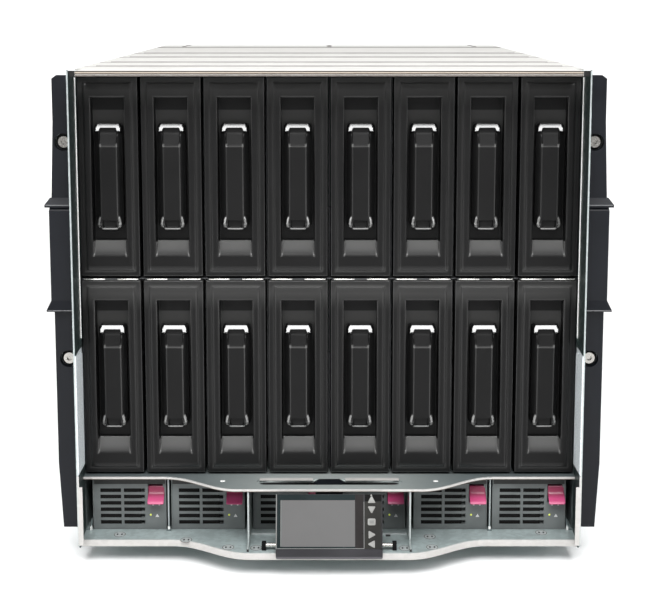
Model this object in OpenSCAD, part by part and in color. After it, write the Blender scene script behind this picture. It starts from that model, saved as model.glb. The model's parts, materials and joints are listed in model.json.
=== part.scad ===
// Ten-unit blade server chassis, front filled with sixteen half-height blanks.
// Frame: X to the right, Y to the rear, Z up; origin at the middle of the
// footprint, on the surface that the chassis stands on.

/* [Enclosure] */
// Pitch of the blade bays across the front
bay_pitch = 55.6; // [48:0.1:68]
// Height over the stiffening beads of the top cover
body_h = 442; // [370:1:540]
// Depth from the front edge of the side sheets to the rear face
body_d = 813; // [680:1:980]
// Thickness of the side, floor and shelf sheets
sheet_t = 1.2; // [0.8:0.1:1.6]
// Reach of the side sheets ahead of the blade faces
cheek_out = 37; // [30:1:48]
// Height of the power supply floor above the base
floor_z = 22; // [16:0.5:30]
// Setback of the base below the front of the side sheets
base_setback = 66; // [50:1:90]
// Reach of the floor lip ahead of the blade faces, at its ends
floor_lip_end = 26; // [18:1:34]
// Reach of the blade shelf ahead of the blade faces, at its ends and in the middle
shelf_lip_end = 7; // [4:0.5:14]
shelf_lip_mid = 43.5; // [34:0.5:46]
// Depth of the blade bays, from the blade faces to the signal board
bay_depth = 505; // [420:1:560]

/* [Blade blanks] */
// Gap between two neighbouring blank faces
face_gap = 2.6; // [1.6:0.1:4]
// Gap between the two rows of blank faces
row_gap = 3.8; // [3.2:0.1:5]
// Depth of a blank behind its face
blank_depth = 250; // [200:1:300]
// Width of the finger pocket
pocket_w = 30; // [26:0.5:36]
// Depth of the finger pocket
pocket_depth = 13; // [11:0.5:15]
// Width of the grip, at its back and at its flat front
grip_w = 24.6; // [20:0.2:25]
grip_flat_w = 14.4; // [12:0.2:18]
// Height of the grip's lower end above the foot of the face
grip_foot = 40.7; // [34:0.1:50]

/* [Power supplies] */
// Height of a power supply
psu_h = 47.6; // [40:0.2:58]
// Depth of a power supply
psu_depth = 300; // [240:1:360]
// Height of one cooling slot in the power supply face
slot_h = 3.6; // [2.4:0.1:4.2]
// Width of the release latch
latch_w = 14.6; // [10:0.2:16]

/* [Display] */
// Width of the display housing
display_w = 93.4; // [84:0.2:100]
// Height of the display housing along its face
display_h = 55; // [50:0.5:58]
// Thickness of the display housing
display_t = 8; // [7.5:0.1:8.5]
// Backward lean of the display at rest, in degrees
display_lean = 18.4; // [10:0.2:24]
// Width and height of the screen
screen_w = 65.3; // [56:0.1:68]
screen_h = 40.2; // [34:0.1:41]
// Radius of the display's support rod
rod_r = 2; // [1.5:0.1:2.5]

/* [Rack ears] */
// Reach of a steel ear beyond the side sheet
ear_reach = 17.7; // [16:0.1:20]
// Height of the bezel foot above the base
ear_foot = 28; // [10:1:40]
// Thickness of the ear bezel
ear_t = 8; // [6:0.5:12]
// Thread radius of a rack screw
screw_r = 3; // [2.4:0.1:3]

/* [Rear modules] */
// Height of a fan module
fan_h = 92; // [80:1:100]
// Blades of one rotor
fan_blades = 7; // [5:1:9]
// Height of the row of administrator modules
admin_h = 44; // [36:1:56]
// Height of the power inlet panel
inlet_h = 56; // [48:1:70]

/* [Hidden] */
$fn = 48;

eps = 0.01;            // overrun of a cut past the face it opens
cols = 8;              // blade bays in a row
slide_gap = 0.3;       // between a sliding module and what carries it
seam = 0.1;            // hairline between two sheets that are fastened together
run_gap = 0.05;        // radial running clearance of a pin in its bore
unit_h = 44.45;        // one rack unit
units = floor((body_h + 3) / unit_h);
hole_low = 4 * unit_h + 6.35;                // lower rack screw above the base
hole_high = (units - 2) * unit_h + 22.225;   // upper rack screw above the base
hole_reach = 8.95;     // rack screws beyond the side sheets

inner_w = cols * bay_pitch;
body_w = inner_w + 2 * sheet_t;
ear_span = body_w + 2 * ear_reach;
hole_x = body_w / 2 + hole_reach;
rear_y = body_d - cheek_out;
rear_t = 2;            // thickness of the rear frame
module_back = rear_y - rear_t;     // rear faces of the rear modules
pull_out = 14;         // reach of the fan pulls behind the rear face

bead_h = 1.2;          // height of the pressed beads of the cover
cover_z = body_h - bead_h - sheet_t;
lip_h = 6;             // height of the floor's turned-down lip
hem_t = 1;             // thickness of a folded hem
psu_z = floor_z + slide_gap;
psu_headroom = 3.1;    // between a power supply and the shelf above it
shelf_t = 1.5;
shelf_top = psu_z + psu_h + psu_headroom + shelf_t;
face_lift = 2;         // blank face above the floor of its bay
body_gap = 0.7;        // step from the face to the sides of a blank's body
top_gap = 7.7;         // from the upper faces to the top of the cover
face_w = bay_pitch - face_gap;
face_h = (body_h - top_gap - row_gap - shelf_top - face_lift) / 2;
low_face_z = shelf_top + face_lift;
high_face_z = low_face_z + face_h + row_gap;
mid_top = high_face_z - face_lift;
rail_z = high_face_z + face_h + 1.3;

hinge_y = -shelf_lip_mid - 2.2;    // display hinge ahead of the blade faces
hinge_z = shelf_top - 7.9;
housing_top = 4;       // top edge of the display above its hinge
foot_out = 1.2;        // foot bar proud of the display's face
foot_back = 1.4;       // back of the foot bar ahead of the hinge plane
// The floor's lip and the display rod stand just behind the leaning display.
floor_lip_mid = -hinge_y + foot_back / cos(display_lean) + (hinge_z - floor_z) * tan(display_lean) - 0.95;
rod_z = floor_z + 4;
rod_y = hinge_y + display_t / 2 / cos(display_lean) - (hinge_z - rod_z) * tan(display_lean) + rod_r + 1.95;
front_out = -hinge_y + (display_t / 2 + foot_out) * cos(display_lean)
            + (display_h - housing_top - 1.5) * sin(display_lean);
face_y = (front_out - rear_y - pull_out) / 2;  // blade faces in the part's frame

// Moves geometry drawn from the blade faces into the part's frame.
module from_faces() translate([0, face_y, 0]) children();

// Upright plate of thickness t with its outline in Y and Z, centred on x.
module side_plate(x, t, outline) {
    translate([x - t / 2, 0, 0]) rotate([90, 0, 90]) linear_extrude(height = t) polygon(outline);
}

module mirrored() {
    children();
    mirror([1, 0, 0]) children();
}

module block(low, high) translate(low) cube(high - low);

// ---------------------------------------------------------------- curved lips
crest_x = 70;          // half width of the floor lip's middle bulge
shoulder_x = 140;      // where the bulge meets the straight ends
wave_steps = 14;

// Front edge of a bulging sheet: straight ends, a cosine shoulder, a straight middle.
function bulge(x, crest, shoulder, y_end, y_mid) =
    y_mid + (y_end - y_mid) * (1 - cos(180 * (abs(x) - crest) / (shoulder - crest))) / 2;

function bulge_side(crest, shoulder, y_end, y_mid, s) =
    [for (i = [0:wave_steps]) let (x = s > 0 ? crest + (shoulder - crest) * i / wave_steps
                                             : shoulder - (shoulder - crest) * i / wave_steps)
        [s * x, bulge(x, crest, shoulder, y_end, y_mid)]];

function bulge_outline(half_w, crest, shoulder, y_end, y_mid, y_back) = concat(
    [[-half_w, y_back], [-half_w, y_end]],
    bulge_side(crest, shoulder, y_end, y_mid, -1),
    bulge_side(crest, shoulder, y_end, y_mid, 1),
    [[half_w, y_end], [half_w, y_back]]);

// Sheet with a bulging front and a lip of height lip, turned down along it.
module lipped_sheet(half_w, crest, shoulder, y_end, y_mid, y_back, top_z, t, lip) {
    outline = bulge_outline(half_w, crest, shoulder, y_end, y_mid, y_back);
    translate([0, 0, top_z - t]) linear_extrude(height = t) polygon(outline);
    translate([0, 0, top_z - lip]) linear_extrude(height = lip) difference() {
        polygon(outline);
        translate([0, t]) polygon(outline);
    }
}

// ------------------------------------------------------------------ enclosure
step_z = floor_z - lip_h;
base_y = base_setback - cheek_out;
cheek_low = shelf_top + 10.5;      // top of the narrow strip beside the power supplies
cheek_mid = low_face_z + 116.5;    // top of the plate beside the lower blanks
strip_w = 16;          // width of that strip

module side_sheet() {
    x = inner_w / 2 + sheet_t / 2;
    side_plate(x, sheet_t, [
        [-cheek_out, floor_z - 2], [-cheek_out + 7, step_z], [base_y, step_z], [base_y, 0],
        [rear_y, 0], [rear_y, cover_z], [9, cover_z], [3, rail_z - 1], [-1, rail_z - 1],
        [-cheek_out, body_h]]);
    // folded hem along the front edge
    block([inner_w / 2 - 0.6, -cheek_out, floor_z], [inner_w / 2 + eps, -cheek_out + 3, body_h - 1]);
    // hem beside the upper faces
    block([inner_w / 2 - hem_t, -2, cheek_mid + 4], [inner_w / 2 + eps, 0, rail_z - 1]);
    // sloping tab that closes the upper cheek
    side_plate((inner_w - hem_t) / 2, hem_t + 2 * eps, [
        [-cheek_out + 2, cheek_mid + 0.5], [-2, cheek_mid + 3], [-2, cheek_mid + 9],
        [-15, cheek_mid + 4.5]]);
    // plate beside the lower faces, and the strip beside the power supplies
    side_plate((inner_w - hem_t) / 2, hem_t + 2 * eps, [
        [-cheek_out + 0.5, cheek_low + 0.4], [-1, cheek_low + 0.4], [-1, cheek_mid - 5],
        [-cheek_out + 0.5, cheek_mid]]);
    side_plate((inner_w - hem_t) / 2, hem_t + 2 * eps, [
        [-cheek_out + 0.5, floor_z], [-cheek_out + strip_w, floor_z],
        [-cheek_out + strip_w, cheek_low - 0.4], [-cheek_out + 0.5, cheek_low - 0.4]]);
}

ear_plate_t = 2.5;     // thickness of a steel ear
ear_flange = 42;       // length of its return flange along the side sheet
ear_drop = 8;          // upper end of the ear below the top of the chassis

// Steel ear behind the bezel, with the rack screw holes and a return flange
// riveted to the side sheet.
module rack_ear() {
    x0 = body_w / 2 + seam;
    difference() {
        block([x0, 0, ear_foot + 2], [ear_span / 2, ear_plate_t, body_h - ear_drop]);
        for (z = [hole_low, hole_high])
            translate([hole_x, -1, z]) rotate([-90, 0, 0]) cylinder(r = screw_r + 0.4, h = ear_plate_t + 2);
    }
    block([x0, ear_plate_t + seam, ear_foot + 2], [x0 + 2, ear_flange, body_h - ear_drop]);
}

rear_floor = 2.4;      // lower edge of the rear module openings
rear_rail = 3;         // height of a rear cross rail
rail_depth = 30;       // depth of a rear cross rail
fan_low_z = rear_floor + inlet_h + rear_rail;
admin_z = fan_low_z + fan_h + rear_rail;
ic_z = admin_z + admin_h + rear_rail;
fan_high_z = cover_z - 3 - fan_h;
ic_pitch = (fan_high_z - rear_rail - ic_z) / 4;
fan_pitch = inner_w / 5;
fan_gap = 2.4;         // between two neighbouring fan modules
fan_wall = 6.3;        // from a fan module's side to the tips of its blades
fan_r = (min(fan_pitch - fan_gap, fan_h - fan_gap / 2) - 2 * fan_wall) / 2;
module_gap = 0.6;      // round a module in its opening
post_w = 4;            // width of a rear corner post
mid_post_w = 4;        // width of the post between the module columns
half_bay_w = (inner_w - mid_post_w) / 2 - post_w - 2 * module_gap;
half_bay_x = mid_post_w / 2 + module_gap + half_bay_w / 2;

module chassis_shell() {
    from_faces() color("gainsboro") {
        mirrored() {
            side_sheet();
            rack_ear();
        }
        // base sheet and its front riser
        half = inner_w / 2 - seam;
        block([-half, base_y, 0], [half, module_back - seam, sheet_t]);
        block([-half, base_y, sheet_t + seam], [half, base_y + sheet_t, floor_z - sheet_t - seam]);
        // rear frame: corner posts, cross rails and two middle posts round the module openings
        mirrored() block([half - post_w, module_back, 0], [half, rear_y, cover_z - seam]);
        rail_half = half - post_w - seam;
        for (z = [fan_low_z, admin_z, ic_z, fan_high_z])
            block([-rail_half, rear_y - rail_depth, z - rear_rail], [rail_half, rear_y, z]);
        for (z = [[admin_z, ic_z], [ic_z, fan_high_z]])
            block([-mid_post_w / 2, rear_y - rail_depth, z[0] + seam],
                  [mid_post_w / 2, rear_y, z[1] - rear_rail - seam]);
    }
}

rib_y = [58, 156, 301, 429];   // stiffening beads of the cover, from the blade faces
seam_y = 672;                  // seam between the front and rear covers

// Transverse bead: a flat arch pressed up out of the sheet.
module bead(y) {
    r = 4;
    translate([-body_w / 2 + 12, y, cover_z + sheet_t + bead_h - r]) rotate([0, 90, 0])
        cylinder(r = r, h = body_w - 24);
}

module top_cover() {
    from_faces() color("whitesmoke") {
        front_w = body_w - 14;
        top = cover_z + sheet_t;
        rear_seam = min(seam_y, rear_y - 60);
        block([-body_w / 2, 9, cover_z], [body_w / 2, rear_seam - 1, top]);
        block([-front_w / 2, -cheek_out + 2, cover_z], [front_w / 2, 9 + eps, top]);
        // front hem, turned down and back
        block([-front_w / 2, -cheek_out + 2, cover_z - 3], [front_w / 2, -cheek_out + 3.2, top]);
        block([-front_w / 2, -cheek_out + 2, cover_z - 3], [front_w / 2, -cheek_out + 12, cover_z - 2]);
        intersection() {
            for (y = rib_y) if (y < rear_seam - 12) bead(y);
            block([-body_w / 2, 0, cover_z + eps], [body_w / 2, rear_y, body_h + 1]);
        }
        // rear cover, with notched front corners
        translate([0, 0, cover_z]) linear_extrude(height = sheet_t) polygon([
            [-body_w / 2 + 14, rear_seam + 1], [body_w / 2 - 14, rear_seam + 1],
            [body_w / 2, rear_seam + 15], [body_w / 2, rear_y], [-body_w / 2, rear_y],
            [-body_w / 2, rear_seam + 15]]);
    }
}

// Plate with a notch in its front edge at every bay boundary.
module notched_plate(y0, y1, z0, z1) {
    difference() {
        block([-inner_w / 2, y0, z0], [inner_w / 2, y1, z1]);
        for (i = [0:cols]) translate([(i - cols / 2) * bay_pitch - 3, y0 - 1, z0 - 1])
            cube([6, 5, z1 - z0 + 2]);
    }
}

module bay_frame() {
    t = sheet_t;
    from_faces() color("darkgray") {
        notched_plate(1.5, bay_depth, mid_top - t, mid_top);
        notched_plate(-8, bay_depth, rail_z, rail_z + t);
        // upright partitions between the bays
        for (i = [1:cols - 1]) {
            x = (i - cols / 2) * bay_pitch;
            block([x - t / 2, 18, shelf_top + seam], [x + t / 2, bay_depth, mid_top - t - seam]);
            block([x - t / 2, 18, mid_top + seam], [x + t / 2, bay_depth, rail_z - seam]);
        }
    }
}

mid_gap = 5;           // between the two middle power supplies
divider_t = 1.5;
div_in = 2.1;          // from a middle power supply to the long divider's centre
div_out = 5.5;         // from there to the next power supply
short_div_gap = 4.6;   // between the two outer power supplies
side_gap = 6.7;        // from the outermost power supply to the side sheet
psu_w = ((inner_w - mid_gap) / 2 - div_in - div_out - short_div_gap - side_gap) / 3;
long_div_x = mid_gap / 2 + psu_w + div_in;
psu_inner_x = long_div_x + div_out + psu_w / 2;
psu_outer_x = psu_inner_x + psu_w + short_div_gap;
short_div_x = (psu_inner_x + psu_outer_x) / 2;
psu_x = [-psu_outer_x, -psu_inner_x, -(mid_gap + psu_w) / 2,
         (mid_gap + psu_w) / 2, psu_inner_x, psu_outer_x];

guide_slot = 2 * (long_div_x - 6.6);   // length of the slot that guides the display
slot_y0 = -30;         // front and rear edges of the display's guide slot
slot_y1 = -12;
ledge_w = 2.5;         // ledge inside the slot that carries the slider's cap
ledge_t = 1.2;
under = shelf_top - shelf_t;

// Round-ended slot through the shelf between y0 and y1.
module slot(y0, y1, z0, z1) {
    r = (y1 - y0) / 2;
    reach = guide_slot / 2 - (slot_y1 - slot_y0) / 2;
    for (s = [-1, 1]) translate([s * reach, y0 + r, z0]) cylinder(r = r, h = z1 - z0);
    block([-reach, y0, z0], [reach, y1, z1]);
}

module blade_shelf() {
    from_faces() color("lightgray") difference() {
        union() {
            lipped_sheet(inner_w / 2, crest_x + 12, shoulder_x + 8, -shelf_lip_end, -shelf_lip_mid,
                         bay_depth, shelf_top, shelf_t, 2.3);
            // stiffening rails under the long edges of the guide slot
            block([-guide_slot / 2 - 3, slot_y0 - 2, under - ledge_t],
                  [guide_slot / 2 + 3, slot_y1 + 2, under + eps]);
        }
        slot(slot_y0, slot_y1, under, shelf_top + 1);
        slot(slot_y0 + ledge_w, slot_y1 - ledge_w, under - ledge_t - 1, under + 1);
    }
}

// ------------------------------------------------------------- power supplies
psu_face_y = 3;
psu_back_y = psu_face_y + psu_depth;

rod_len = 2 * (long_div_x - 13.6);

module psu_floor() {
    from_faces() color("lightgray") {
        lipped_sheet(inner_w / 2 - 0.2, crest_x, shoulder_x, -floor_lip_end, -floor_lip_mid,
                     rear_y - 40, floor_z, sheet_t, lip_h);
        // brackets for the ends of the display rod
        mirrored() difference() {
            block([rod_len / 2 - 2, rod_y - 2.6, floor_z + seam], [rod_len / 2 + 1, rod_y + 2.6, rod_z + 2.8]);
            translate([rod_len / 2 - 3, rod_y, rod_z]) rotate([0, 90, 0]) cylinder(r = rod_r + run_gap, h = 5);
        }
    }
}

module display_rod() {
    from_faces() color("silver") translate([-rod_len / 2 - 1, rod_y, rod_z]) rotate([0, 90, 0])
        cylinder(r = rod_r, h = rod_len + 2);
}

module psu_dividers() {
    from_faces() color("gainsboro") {
        mirrored() {
            side_plate(long_div_x, divider_t, [
                [-floor_lip_mid + 4, floor_z], [psu_back_y, floor_z], [psu_back_y, under],
                [-shelf_lip_mid + 2, under], [-shelf_lip_mid + 2, floor_z + 5],
                [-floor_lip_mid + 4, floor_z + 3]]);
            side_plate(short_div_x, divider_t, [
                [0, floor_z], [psu_back_y, floor_z], [psu_back_y, under], [0, under]]);
            // feet of the short divider and of the outer guide
            foot = short_div_gap / 2 - slide_gap;
            block([short_div_x - foot, -2, floor_z], [short_div_x + foot, 1.5, floor_z + 1.2]);
            side_plate(psu_outer_x + psu_w / 2 + 1.4, 1.2, [
                [0, floor_z], [psu_back_y, floor_z], [psu_back_y, floor_z + 9], [6, floor_z + 9],
                [0, floor_z + 5]]);
            block([psu_outer_x + psu_w / 2 + 1, 0, floor_z], [inner_w / 2, 1.2, floor_z + 1.2]);
        }
        // rear stop and power connector board
        block([-inner_w / 2, psu_back_y + 1, floor_z], [inner_w / 2, psu_back_y + 5, under]);
    }
}

latch_margin = 3.5;    // from the latch to the power supply's right side
latch_x = psu_w / 2 - latch_margin - latch_w / 2;   // latch centre from the middle
grille_margin = 6.8;   // from the power supply's left side to the slots
bar_w = 2.3;           // bar between the two columns of slots
slot_w = (psu_w - grille_margin - bar_w - 1.4 - latch_w - latch_margin) / 2;
slot_pitch = 6.02;
latch_top = 39.5;      // pivot above the bottom of the power supply
latch_len = 16.4;
pivot_y = 3;           // pivot behind the power supply's face
pivot_r = 1.2;         // radius of the pivot pin
grille_foot = 4.7;     // lowest slot above the bottom of the power supply
grille_depth = 6;      // depth of the slots
latch_pocket = 9;      // depth of the latch's pocket
latch_room = 0.4;      // beside the latch in its pocket

// Power supply: grille of twelve cooling slots, and the pocket of its release latch.
module psu_unit() {
    color("dimgray") {
        difference() {
            block([-psu_w / 2, 0, 0], [psu_w / 2, psu_depth, psu_h]);
            for (col = [0, 1], row = [0:5])
                translate([grille_margin - psu_w / 2 + (slot_w + bar_w) * col, -1, grille_foot + slot_pitch * row])
                    cube([slot_w, grille_depth + 1, slot_h]);
            // latch pocket, open at the front
            block([latch_x - latch_w / 2 - latch_room, -1, latch_top - latch_len - 1],
                  [latch_x + latch_w / 2 + latch_room, latch_pocket, latch_top + 3]);
        }
        // pivot pin of the latch
        translate([latch_x - latch_w / 2 - latch_room - 1, pivot_y, latch_top]) rotate([0, 90, 0])
            cylinder(r = pivot_r, h = latch_w + 2 * latch_room + 2);
    }
}

// Release latch: a tab that hangs from its pivot and curls forward at its foot.
module latch_tab() {
    outline = [
        [2.6, 1.8], [0.6, 1.4], [-0.6, -0.4], [-1.4, -5], [-2.2, -9], [-3.6, -12.4], [-6, -latch_len + 1.4],
        [-6, -latch_len], [-4, -latch_len + 0.4], [-1.9, -13.6], [-0.6, -9.6], [0.5, -5], [4.6, -2.2], [5, 0.8]];
    color("mediumvioletred") difference() {
        translate([latch_x - latch_w / 2, 0, latch_top]) rotate([90, 0, 90])
            linear_extrude(height = latch_w) polygon(outline);
        translate([latch_x - latch_w / 2 - 1, pivot_y, latch_top]) rotate([0, 90, 0])
            cylinder(r = pivot_r + run_gap, h = latch_w + 2);
    }
}

module psu(i) from_faces() translate([psu_x[i - 1], psu_face_y, psu_z]) psu_unit();
module psu_latch(i) from_faces() translate([psu_x[i - 1], psu_face_y, psu_z]) latch_tab();

// -------------------------------------------------------------- blade blanks
panel_inset = 5;       // from the edge of the face to the raised panel
panel_bevel = 0.9;     // width and height of the bevel round the panel
pocket_foot = 17.5;    // lower end of the scoop above the foot of the face
pocket_drop = 17.8;    // upper end of the pocket below the top of the face
scoop_h = 14;          // height of the scoop at the pocket's lower end
face_back = pocket_depth + 3;   // back of the moulded face
grip_drop = 40.9;      // upper end of the grip below the top of the face
grip_back = 6.4;       // depth of the grip's back behind the face
tunnel_w = 19;         // hollow behind the grip
nose_h = 6.4;          // height of the bevelled nose at the grip's upper end
dish_top = 3.2;        // from the upper end down to the thumb dish
dish_end = 20.2;       // from the upper end down to the lower end of the dish

// Prism with its outline in Y and Z, w wide across the centre line.
module across(w, outline) side_plate(0, w, outline);

// Prism with its outline in X and Z, running back from y0 to y1.
module along(y0, y1, outline) {
    translate([0, y1, 0]) rotate([90, 0, 0]) linear_extrude(height = y1 - y0) polygon(outline);
}

// Grip: a bar with a bevelled nose at its upper end, an arched rim round a thumb dish,
// a second rim at its foot, and a hollow behind it for the fingers.
module grip(head) {
    foot = grip_foot;
    half = grip_w / 2;
    flat = grip_flat_w / 2;
    difference() {
        intersection() {
            across(grip_w, [
                [1, foot + 6], [3.6, foot + 0.9], [grip_back, foot], [pocket_depth + eps, foot],
                [pocket_depth + eps, head], [grip_back, head], [4.2, head - 0.8], [1, head - nose_h]]);
            along(0, pocket_depth + 1, [
                [5.4 - half, foot], [half - 5.4, foot], [half, foot + 6], [half, head - 2.6],
                [half - 2.4, head], [2.4 - half, head], [-half, head - 2.6], [-half, foot + 6]]);
            linear_extrude(height = 2 * head) polygon([
                [-flat, 1], [flat, 1], [half, grip_back - 0.4], [half, pocket_depth + 1],
                [-half, pocket_depth + 1], [-half, grip_back - 0.4]]);
        }
        // thumb dish with its arched upper edge
        intersection() {
            across(grip_w, [
                [-1, head - dish_top + 1], [5.6, head - dish_top + 1], [5.6, head - dish_top - 0.4],
                [3.4, head - dish_end + 1.8], [0.9, head - dish_end], [-1, head - dish_end]]);
            along(-2, grip_back, [
                [-7.3, head - dish_top - 2.4], [-5.2, head - dish_top], [5.2, head - dish_top],
                [7.3, head - dish_top - 2.4], [6.6, head - dish_end], [-6.6, head - dish_end]]);
        }
        // shallow recess inside the rim at the foot
        along(-2, 4.6, [[-4.8, foot + 2.6], [4.8, foot + 2.6], [6.6, foot + 5.2], [6.6, foot + 9.7],
                        [-6.6, foot + 9.7], [-6.6, foot + 5.2]]);
        block([-tunnel_w / 2, grip_back, foot - 1], [tunnel_w / 2, pocket_depth, head + 1]);
    }
}

module blank_face() {
    inset = panel_inset + panel_bevel;
    difference() {
        union() {
            block([-face_w / 2, 1, 0], [face_w / 2, face_back, face_h]);
            hull() {
                block([-face_w / 2 + panel_inset, 1, panel_inset],
                      [face_w / 2 - panel_inset, 1.1, face_h - panel_inset]);
                block([-face_w / 2 + inset, 0, inset], [face_w / 2 - inset, 0.1, face_h - inset]);
            }
        }
        // finger pocket
        block([-pocket_w / 2, -1, pocket_foot + scoop_h], [pocket_w / 2, pocket_depth, face_h - pocket_drop]);
        // scoop: a ramp that rolls off the face and steepens towards the pocket's back
        across(pocket_w, concat(
            [[-1, pocket_foot + scoop_h + eps], [-1, pocket_foot]],
            [for (a = [0:10:80]) [pocket_depth * (1 - cos(a)) / (1 - cos(80)),
                                  pocket_foot + scoop_h * sin(a) / sin(80)]],
            [[pocket_depth, pocket_foot + scoop_h + eps]]));
    }
    grip(face_h - grip_drop);
}

box_wall = 2.2;        // wall of the box behind a blank's face
rib_w = 8;             // rib between two sunk side panels
first_panel = 30;      // front of the first side panel behind the face
last_panel = 14;       // back of the last one ahead of the box's end
panel_edge = 12;       // above and below the side panels
panel_sink = 1;        // depth of a side panel

// Blank: moulded face on an open-backed box that fills the mouth of the bay.
module blank_unit() {
    half = face_w / 2 - body_gap;
    low = -face_lift + slide_gap;
    high = face_h - 1;
    y0 = face_back - eps;
    panel = (blank_depth - first_panel - last_panel) / 3;
    color([0.16, 0.16, 0.17]) {
        blank_face();
        difference() {
            translate([0, 0, low]) linear_extrude(height = high - low)
                polygon([[-half, y0], [half, y0], [half, blank_depth - 8], [half - 1, blank_depth],
                         [1 - half, blank_depth], [-half, blank_depth - 8]]);
            block([box_wall - half, y0 - 1, low + box_wall],
                  [half - box_wall, blank_depth + 1, high - box_wall]);
            // sunk side panels between the ribs
            for (s = [-1, 1], k = [0:2])
                block([s * half - panel_sink, first_panel + k * panel, panel_edge],
                      [s * half + panel_sink, first_panel - rib_w + (k + 1) * panel, face_h - panel_edge]);
        }
    }
}

module blank(row, i) {
    z = row == 0 ? low_face_z : high_face_z;
    from_faces() translate([(i - 0.5 - cols / 2) * bay_pitch, 0, z]) blank_unit();
}

// ------------------------------------------------------------------- display
skin = 1.9;            // front wall ahead of the hinge knuckle
knuckle_r = 1.75;      // radius of the slider's knuckle
knuckle_w = 24;        // width of the knuckle
hinge_pin_r = 1;       // pin through the knuckle
key_x = 37.2;          // key column from the middle of the housing
key_drop = [5.8, 13.3, 24, 35, 43.2];  // keys below the top edge
screen_x = -10;        // middle of the screen from the middle of the housing
screen_drop = 5.2;     // screen below the top edge
screen_t = 1.2;        // thickness of the screen's window
screen_fit = 0.05;     // round the window in its seat
key_t = 1.6;           // thickness of a key
key_proud = 0.5;       // face of a key ahead of the housing
key_gap = 0.3;         // round a key in its well
key_well = 2.4;        // depth of a key's well

module on_display() {
    from_faces() translate([0, hinge_y, hinge_z]) rotate([-display_lean, 0, 0]) children();
}

// Outline of a key about its centre, grown by g: 0 up, 1 down, 2 ok, 3 right, 4 left.
module key_outline(k, g) {
    s = 3.5 + g;
    if (k == 2) translate([-s, -s + 0.5]) square([2 * s, 2 * s - 1]);
    else rotate([0, 0, [0, 180, 0, -90, 90][k]])
        polygon([[-s - g * 0.8, -s + 0.6 - g * 0.2], [s + g * 0.8, -s + 0.6 - g * 0.2], [0, s + g * 0.6]]);
}

module key_prism(k, g, y, t) {
    translate([key_x, y + t, housing_top - key_drop[k]]) rotate([90, 0, 0]) linear_extrude(height = t)
        key_outline(k, g);
}

module display_housing() {
    h = display_t / 2;
    low = housing_top - display_h;
    on_display() color([0.3, 0.3, 0.32]) {
        difference() {
            union() {
                block([-display_w / 2, -h, low + 7.7], [display_w / 2, h, housing_top]);
                // thicker foot bar below the screen, ahead of the floor lip
                hull() {
                    block([-display_w / 2, -h - foot_out, low + 1.5], [display_w / 2, -foot_back, low + 7]);
                    block([-display_w / 2 + 1.5, -h - 0.2, low], [display_w / 2 - 1.5, -foot_back - 0.2, low + 7.8]);
                }
            }
            // screen seat, key wells and the notch for the slider's knuckle
            block([screen_x - screen_w / 2 - screen_fit, -h - 1,
                   housing_top - screen_drop - screen_h - screen_fit],
                  [screen_x + screen_w / 2 + screen_fit, -h + screen_t, housing_top - screen_drop + screen_fit]);
            for (k = [0:4]) key_prism(k, key_gap, -h - 1, key_well + 1);
            block([-knuckle_w / 2 - 0.5, -h + skin, -4.2], [knuckle_w / 2 + 0.5, h + 1, housing_top + 1]);
        }
        // hinge pin across the notch
        translate([-knuckle_w / 2 - 1, 0, 0]) rotate([0, 90, 0]) cylinder(r = hinge_pin_r, h = knuckle_w + 2);
    }
}

module display_screen() {
    h = display_t / 2;
    on_display() color([0.55, 0.55, 0.55])
        block([screen_x - screen_w / 2, -h - 0.1, housing_top - screen_drop - screen_h],
              [screen_x + screen_w / 2, -h + screen_t, housing_top - screen_drop]);
}

module key(k) {
    on_display() color("silver") key_prism(k, 0, -display_t / 2 - key_proud, key_t);
}

// Slider: a cap on the ledges of the shelf's guide slot, a stem through it and an arm to the hinge.
module display_slider() {
    w = knuckle_w / 2;
    plate_z = under - ledge_t - slide_gap;
    arm_t = 1.6;       // thickness of the arm's upright
    arm_y = hinge_y + 5.7;
    cap_y0 = slot_y0 + slide_gap;
    cap_y1 = slot_y1 - slide_gap;
    cap_mid = (cap_y0 + cap_y1) / 2;
    from_faces() color([0.1, 0.1, 0.1]) {
        translate([0, 0, under + slide_gap]) linear_extrude(height = shelf_t - slide_gap - 0.1)
            polygon([[-14, cap_mid], [-9, cap_y1], [9, cap_y1], [14, cap_mid], [9, cap_y0], [-9, cap_y0]]);
        block([-8, cap_y0 + ledge_w, plate_z - 1], [8, cap_y1 - ledge_w, under + slide_gap + eps]);
        block([-w, arm_y, plate_z - 1.2], [w, slot_y1 - 2, plate_z]);
        block([-w, arm_y, hinge_z - 1.1], [w, arm_y + arm_t, plate_z - eps]);
        difference() {
            union() {
                block([-w, hinge_y, hinge_z - 1.1], [w, arm_y + arm_t, hinge_z + 1.1]);
                translate([-w, hinge_y, hinge_z]) rotate([0, 90, 0]) cylinder(r = knuckle_r, h = 2 * w);
            }
            translate([-w - 1, hinge_y, hinge_z]) rotate([0, 90, 0]) cylinder(r = hinge_pin_r + run_gap, h = 2 * w + 2);
        }
    }
}

// ---------------------------------------------------------------------- ears
grab_mid = (hole_low + hole_high) / 2 - 4;   // middle of the proud block between the screws
grab_half = 41;
ledge_gap = 3;         // from the block to the ledges above and below it
recess_r = 7.6;        // recess round a rack screw
bezel_top = body_h - 6;

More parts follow.
